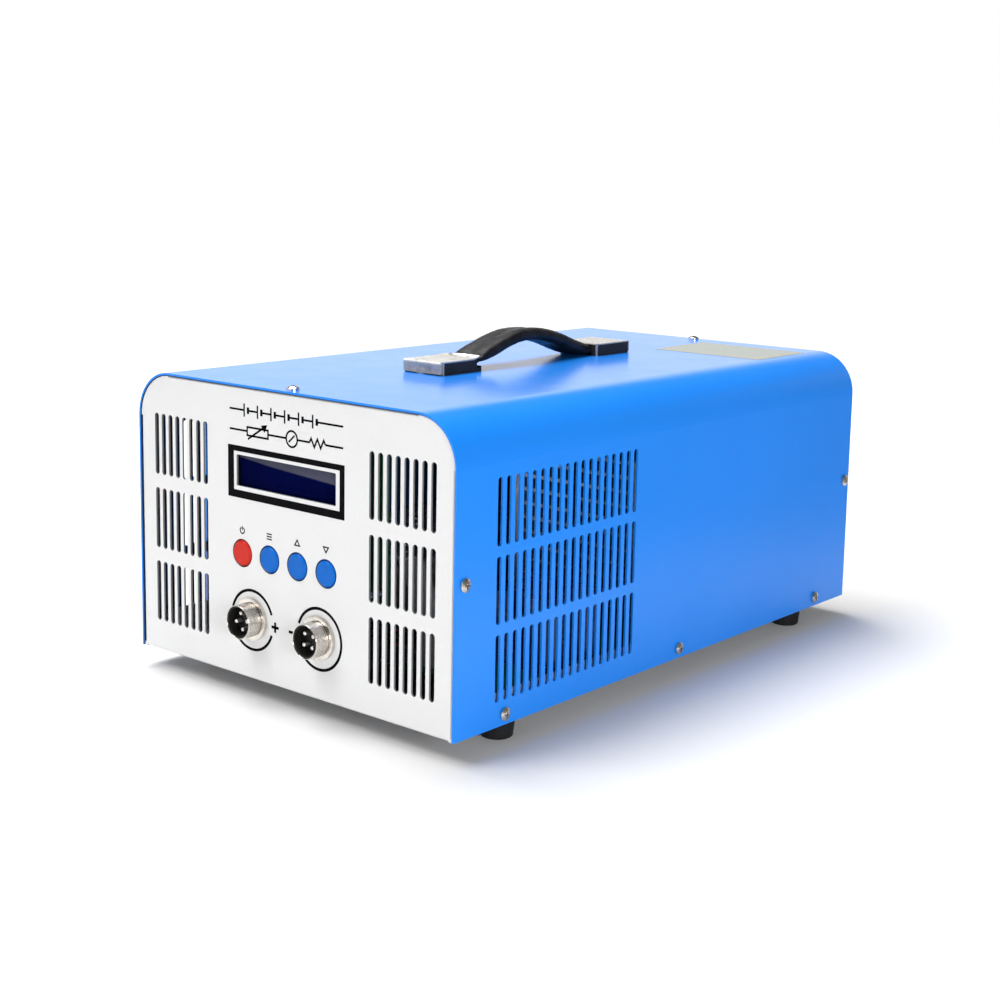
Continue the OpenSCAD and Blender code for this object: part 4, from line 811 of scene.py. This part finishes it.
def turned(name, profile, centres, material, body="case", around=32):
    """Turned pieces along Y from one profile of radii and places, in millimetres."""
    angles = [2 * math.pi * k / around for k in range(around)]
    bm = bmesh.new()
    for x, z in centres:
        rows = []
        for radius, y in profile:
            circle = [(x + radius * math.cos(a), y, z + radius * math.sin(a)) for a in angles]
            rows.append([Vector(point) * MM for point in circle])
        grid(bm, rows, closed_u=True, cap_ends=True)
    return piece(name, bm, material, body=body, smooth=32)


def socket_pins():
    """Pins with a domed tip and a small turning mark in it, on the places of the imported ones."""
    node = frame["nodes"]["socket_pins"]
    points = [node.matrix_world @ v.co for v in node.data.vertices]
    tip = min(p.y for p in points)
    centres = []
    for p in points:
        if p.y > tip + 0.01 * MM:
            continue
        near = [c for c in centres if (c[0] - Vector((p.x, p.z))).length < 2 * MM]
        if near:
            near[0].append(Vector((p.x, p.z)))
        else:
            centres.append([Vector((p.x, p.z))])
    middles = [sum(c, Vector((0, 0))) / len(c) / MM for c in centres]
    y = tip / MM
    tail = max(p.y for p in points) / MM
    profile = [(0.22, y + 0.3), (0.3, y + 0.08), (0.42, y), (0.62, y + 0.03)]
    profile += [(0.82, y + 0.14), (0.95, y + 0.34), (1.0, y + 0.65), (1.0, tail)]
    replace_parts(turned("socket_pin_set", profile, middles, "pin_nickel"), "socket_pins")


socket_pins()


def key(node, x, material):
    """Round key with a shallow dish, a bevelled rim and its flange and stem."""
    face = PANEL - 1.0
    flange = face + 2.4
    profile = [(0.01, face + 0.16), (3.9, face + 0.16), (4.4, face + 0.1), (4.65, face), (4.8, face + 0.02)]
    profile += [(5.6, face + 0.62), (5.78, face + 0.85), (5.85, face + 1.15), (5.85, flange), (7.4, flange)]
    profile += [(7.4, flange + 1.2), (2.5, flange + 1.2), (2.5, flange + 10.8)]
    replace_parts(turned(node + "_cap", profile, [(x / MM, KEY_Z / MM)], material, body=node, around=96), node)


key("key_start", KEY_X[0], "key_red")
for node_name, place in (("key_set", KEY_X[1]), ("key_up", KEY_X[2]), ("key_down", KEY_X[3])):
    key(node_name, place, "key_blue")


# Floor, world and lamps
FLOOR_GLOW = 0.03
FILL = 0.25
CEILING = 0.06
DIM_SIDE = 0.2


def calc(tree, operation, *values):
    """One step of arithmetic between outputs and numbers."""
    node = tree.nodes.new("ShaderNodeMath")
    node.operation = operation
    for socket, value in zip(node.inputs, values):
        if isinstance(value, bpy.types.NodeSocket):
            tree.links.new(value, socket)
        else:
            socket.default_value = value
    return node.outputs[0]


def highest(tree, outputs):
    """The largest of several values."""
    top = outputs[0]
    for other in outputs[1:]:
        top = calc(tree, "MAXIMUM", top, other)
    return top


def ramp(tree, value, low, high, out_low, out_high):
    """Smooth step from out_low to out_high while the value goes from low to high."""
    node = tree.nodes.new("ShaderNodeMapRange")
    node.interpolation_type = "SMOOTHSTEP"
    for key, number in (("From Min", low), ("From Max", high), ("To Min", out_low), ("To Max", out_high)):
        node.inputs[key].default_value = number
    tree.links.new(value, node.inputs["Value"])
    return node.outputs["Result"]


def blend(tree, fac, a, b):
    """a where fac is 0 and b where it is 1."""
    node = tree.nodes.new("ShaderNodeMix")
    tree.links.new(fac, node.inputs["Factor"])
    for socket, value in ((node.inputs["A"], a), (node.inputs["B"], b)):
        if isinstance(value, bpy.types.NodeSocket):
            tree.links.new(value, socket)
        else:
            socket.default_value = value
    return node.outputs["Result"]


def stage_floor():
    """Pale floor that keeps the shadow near the object and turns white farther out.

    Metal and glass see the same floor, dimmer on the right and rear side.
    """
    bm = bmesh.new()
    bmesh.ops.create_grid(bm, x_segments=1, y_segments=1, size=30)
    mesh = bpy.data.meshes.new("floor")
    bm.to_mesh(mesh)
    bm.free()
    obj = bpy.data.objects.new("floor", mesh)
    bpy.context.scene.collection.objects.link(obj)
    mat = bpy.data.materials.new("floor_white")
    mat.use_nodes = True
    tree = mat.node_tree
    tree.nodes.clear()
    out = tree.nodes.new("ShaderNodeOutputMaterial")
    add = tree.nodes.new("ShaderNodeAddShader")
    diffuse = tree.nodes.new("ShaderNodeBsdfDiffuse")
    glow = tree.nodes.new("ShaderNodeEmission")
    rays = tree.nodes.new("ShaderNodeLightPath").outputs
    place = tree.nodes.new("ShaderNodeTexCoord").outputs["Object"]
    side = tree.nodes.new("ShaderNodeVectorMath")
    side.operation = "DOT_PRODUCT"
    tree.links.new(place, side.inputs[0])
    side.inputs[1].default_value = (1, 0.5, 0)
    mirror = highest(tree, [rays["Is Glossy Ray"], rays["Is Transmission Ray"]])
    mirrored = calc(tree, "MULTIPLY", mirror, ramp(tree, side.outputs["Value"], 0.2, 0.5, 1.0, DIM_SIDE))
    seen = highest(tree, [rays["Is Camera Ray"], mirrored])
    kept = highest(tree, [calc(tree, "SUBTRACT", 1.0, mirror), mirrored])
    length = tree.nodes.new("ShaderNodeVectorMath")
    length.operation = "LENGTH"
    tree.links.new(place, length.inputs[0])
    level = calc(tree, "MULTIPLY", seen, ramp(tree, length.outputs["Value"], 0.35, 1.1, FLOOR_GLOW, 1.0))
    pale = ramp(tree, length.outputs["Value"], 0.5, 1.3, 0.80, 0.15)
    tree.links.new(calc(tree, "MULTIPLY", kept, pale), diffuse.inputs["Color"])
    tree.links.new(level, glow.inputs["Strength"])
    tree.links.new(diffuse.outputs[0], add.inputs[0])
    tree.links.new(glow.outputs[0], add.inputs[1])
    tree.links.new(add.outputs[0], out.inputs["Surface"])
    mesh.materials.append(mat)


def world():
    """White backdrop for the camera, white horizon and dim ceiling for mirrors, even fill for the rest."""
    made = bpy.data.worlds.new("studio")
    bpy.context.scene.world = made
    made.use_nodes = True
    tree = made.node_tree
    tree.nodes.clear()
    out = tree.nodes.new("ShaderNodeOutputWorld")
    background = tree.nodes.new("ShaderNodeBackground")
    background.inputs["Color"].default_value = (1, 1, 1, 1)
    rays = tree.nodes.new("ShaderNodeLightPath").outputs
    parts = tree.nodes.new("ShaderNodeSeparateXYZ")
    tree.links.new(tree.nodes.new("ShaderNodeTexCoord").outputs["Generated"], parts.inputs[0])
    dimmed = ramp(tree, parts.outputs["X"], 0.15, 0.5, 1.0, DIM_SIDE)
    mirrored = blend(tree, ramp(tree, parts.outputs["Z"], 0.26, 0.50, 0.0, 1.0), dimmed, CEILING)
    level = blend(tree, highest(tree, [rays["Is Glossy Ray"], rays["Is Transmission Ray"]]), FILL, mirrored)
    level = blend(tree, rays["Is Camera Ray"], level, 1.0)
    tree.links.new(level, background.inputs["Strength"])
    tree.links.new(background.outputs[0], out.inputs["Surface"])


def lamp(name, place, target, size, power):
    """Square lamp that faces its target."""
    data = bpy.data.lights.new(name, "AREA")
    data.shape = "RECTANGLE"
    data.size = data.size_y = size
    data.energy = power
    obj = bpy.data.objects.new(name, data)
    bpy.context.scene.collection.objects.link(obj)
    obj.location = place
    obj.rotation_euler = (Vector(target) - Vector(place)).to_track_quat("-Z", "Y").to_euler()


stage_floor()
world()
lamp("overhead", (-0.55, 0.15, 1.6), (0, 0, 0.08), 1.1, 32)
lamp("right_front", (1.1, -0.55, 0.25), (0.02, -0.08, 0.06), 0.35, 7.4)
lamp("left_front", (-0.45, -0.9, 1.3), (0, -0.15, 0.05), 0.7, 12.5)

bpy.context.scene.view_settings.view_transform = "Standard"
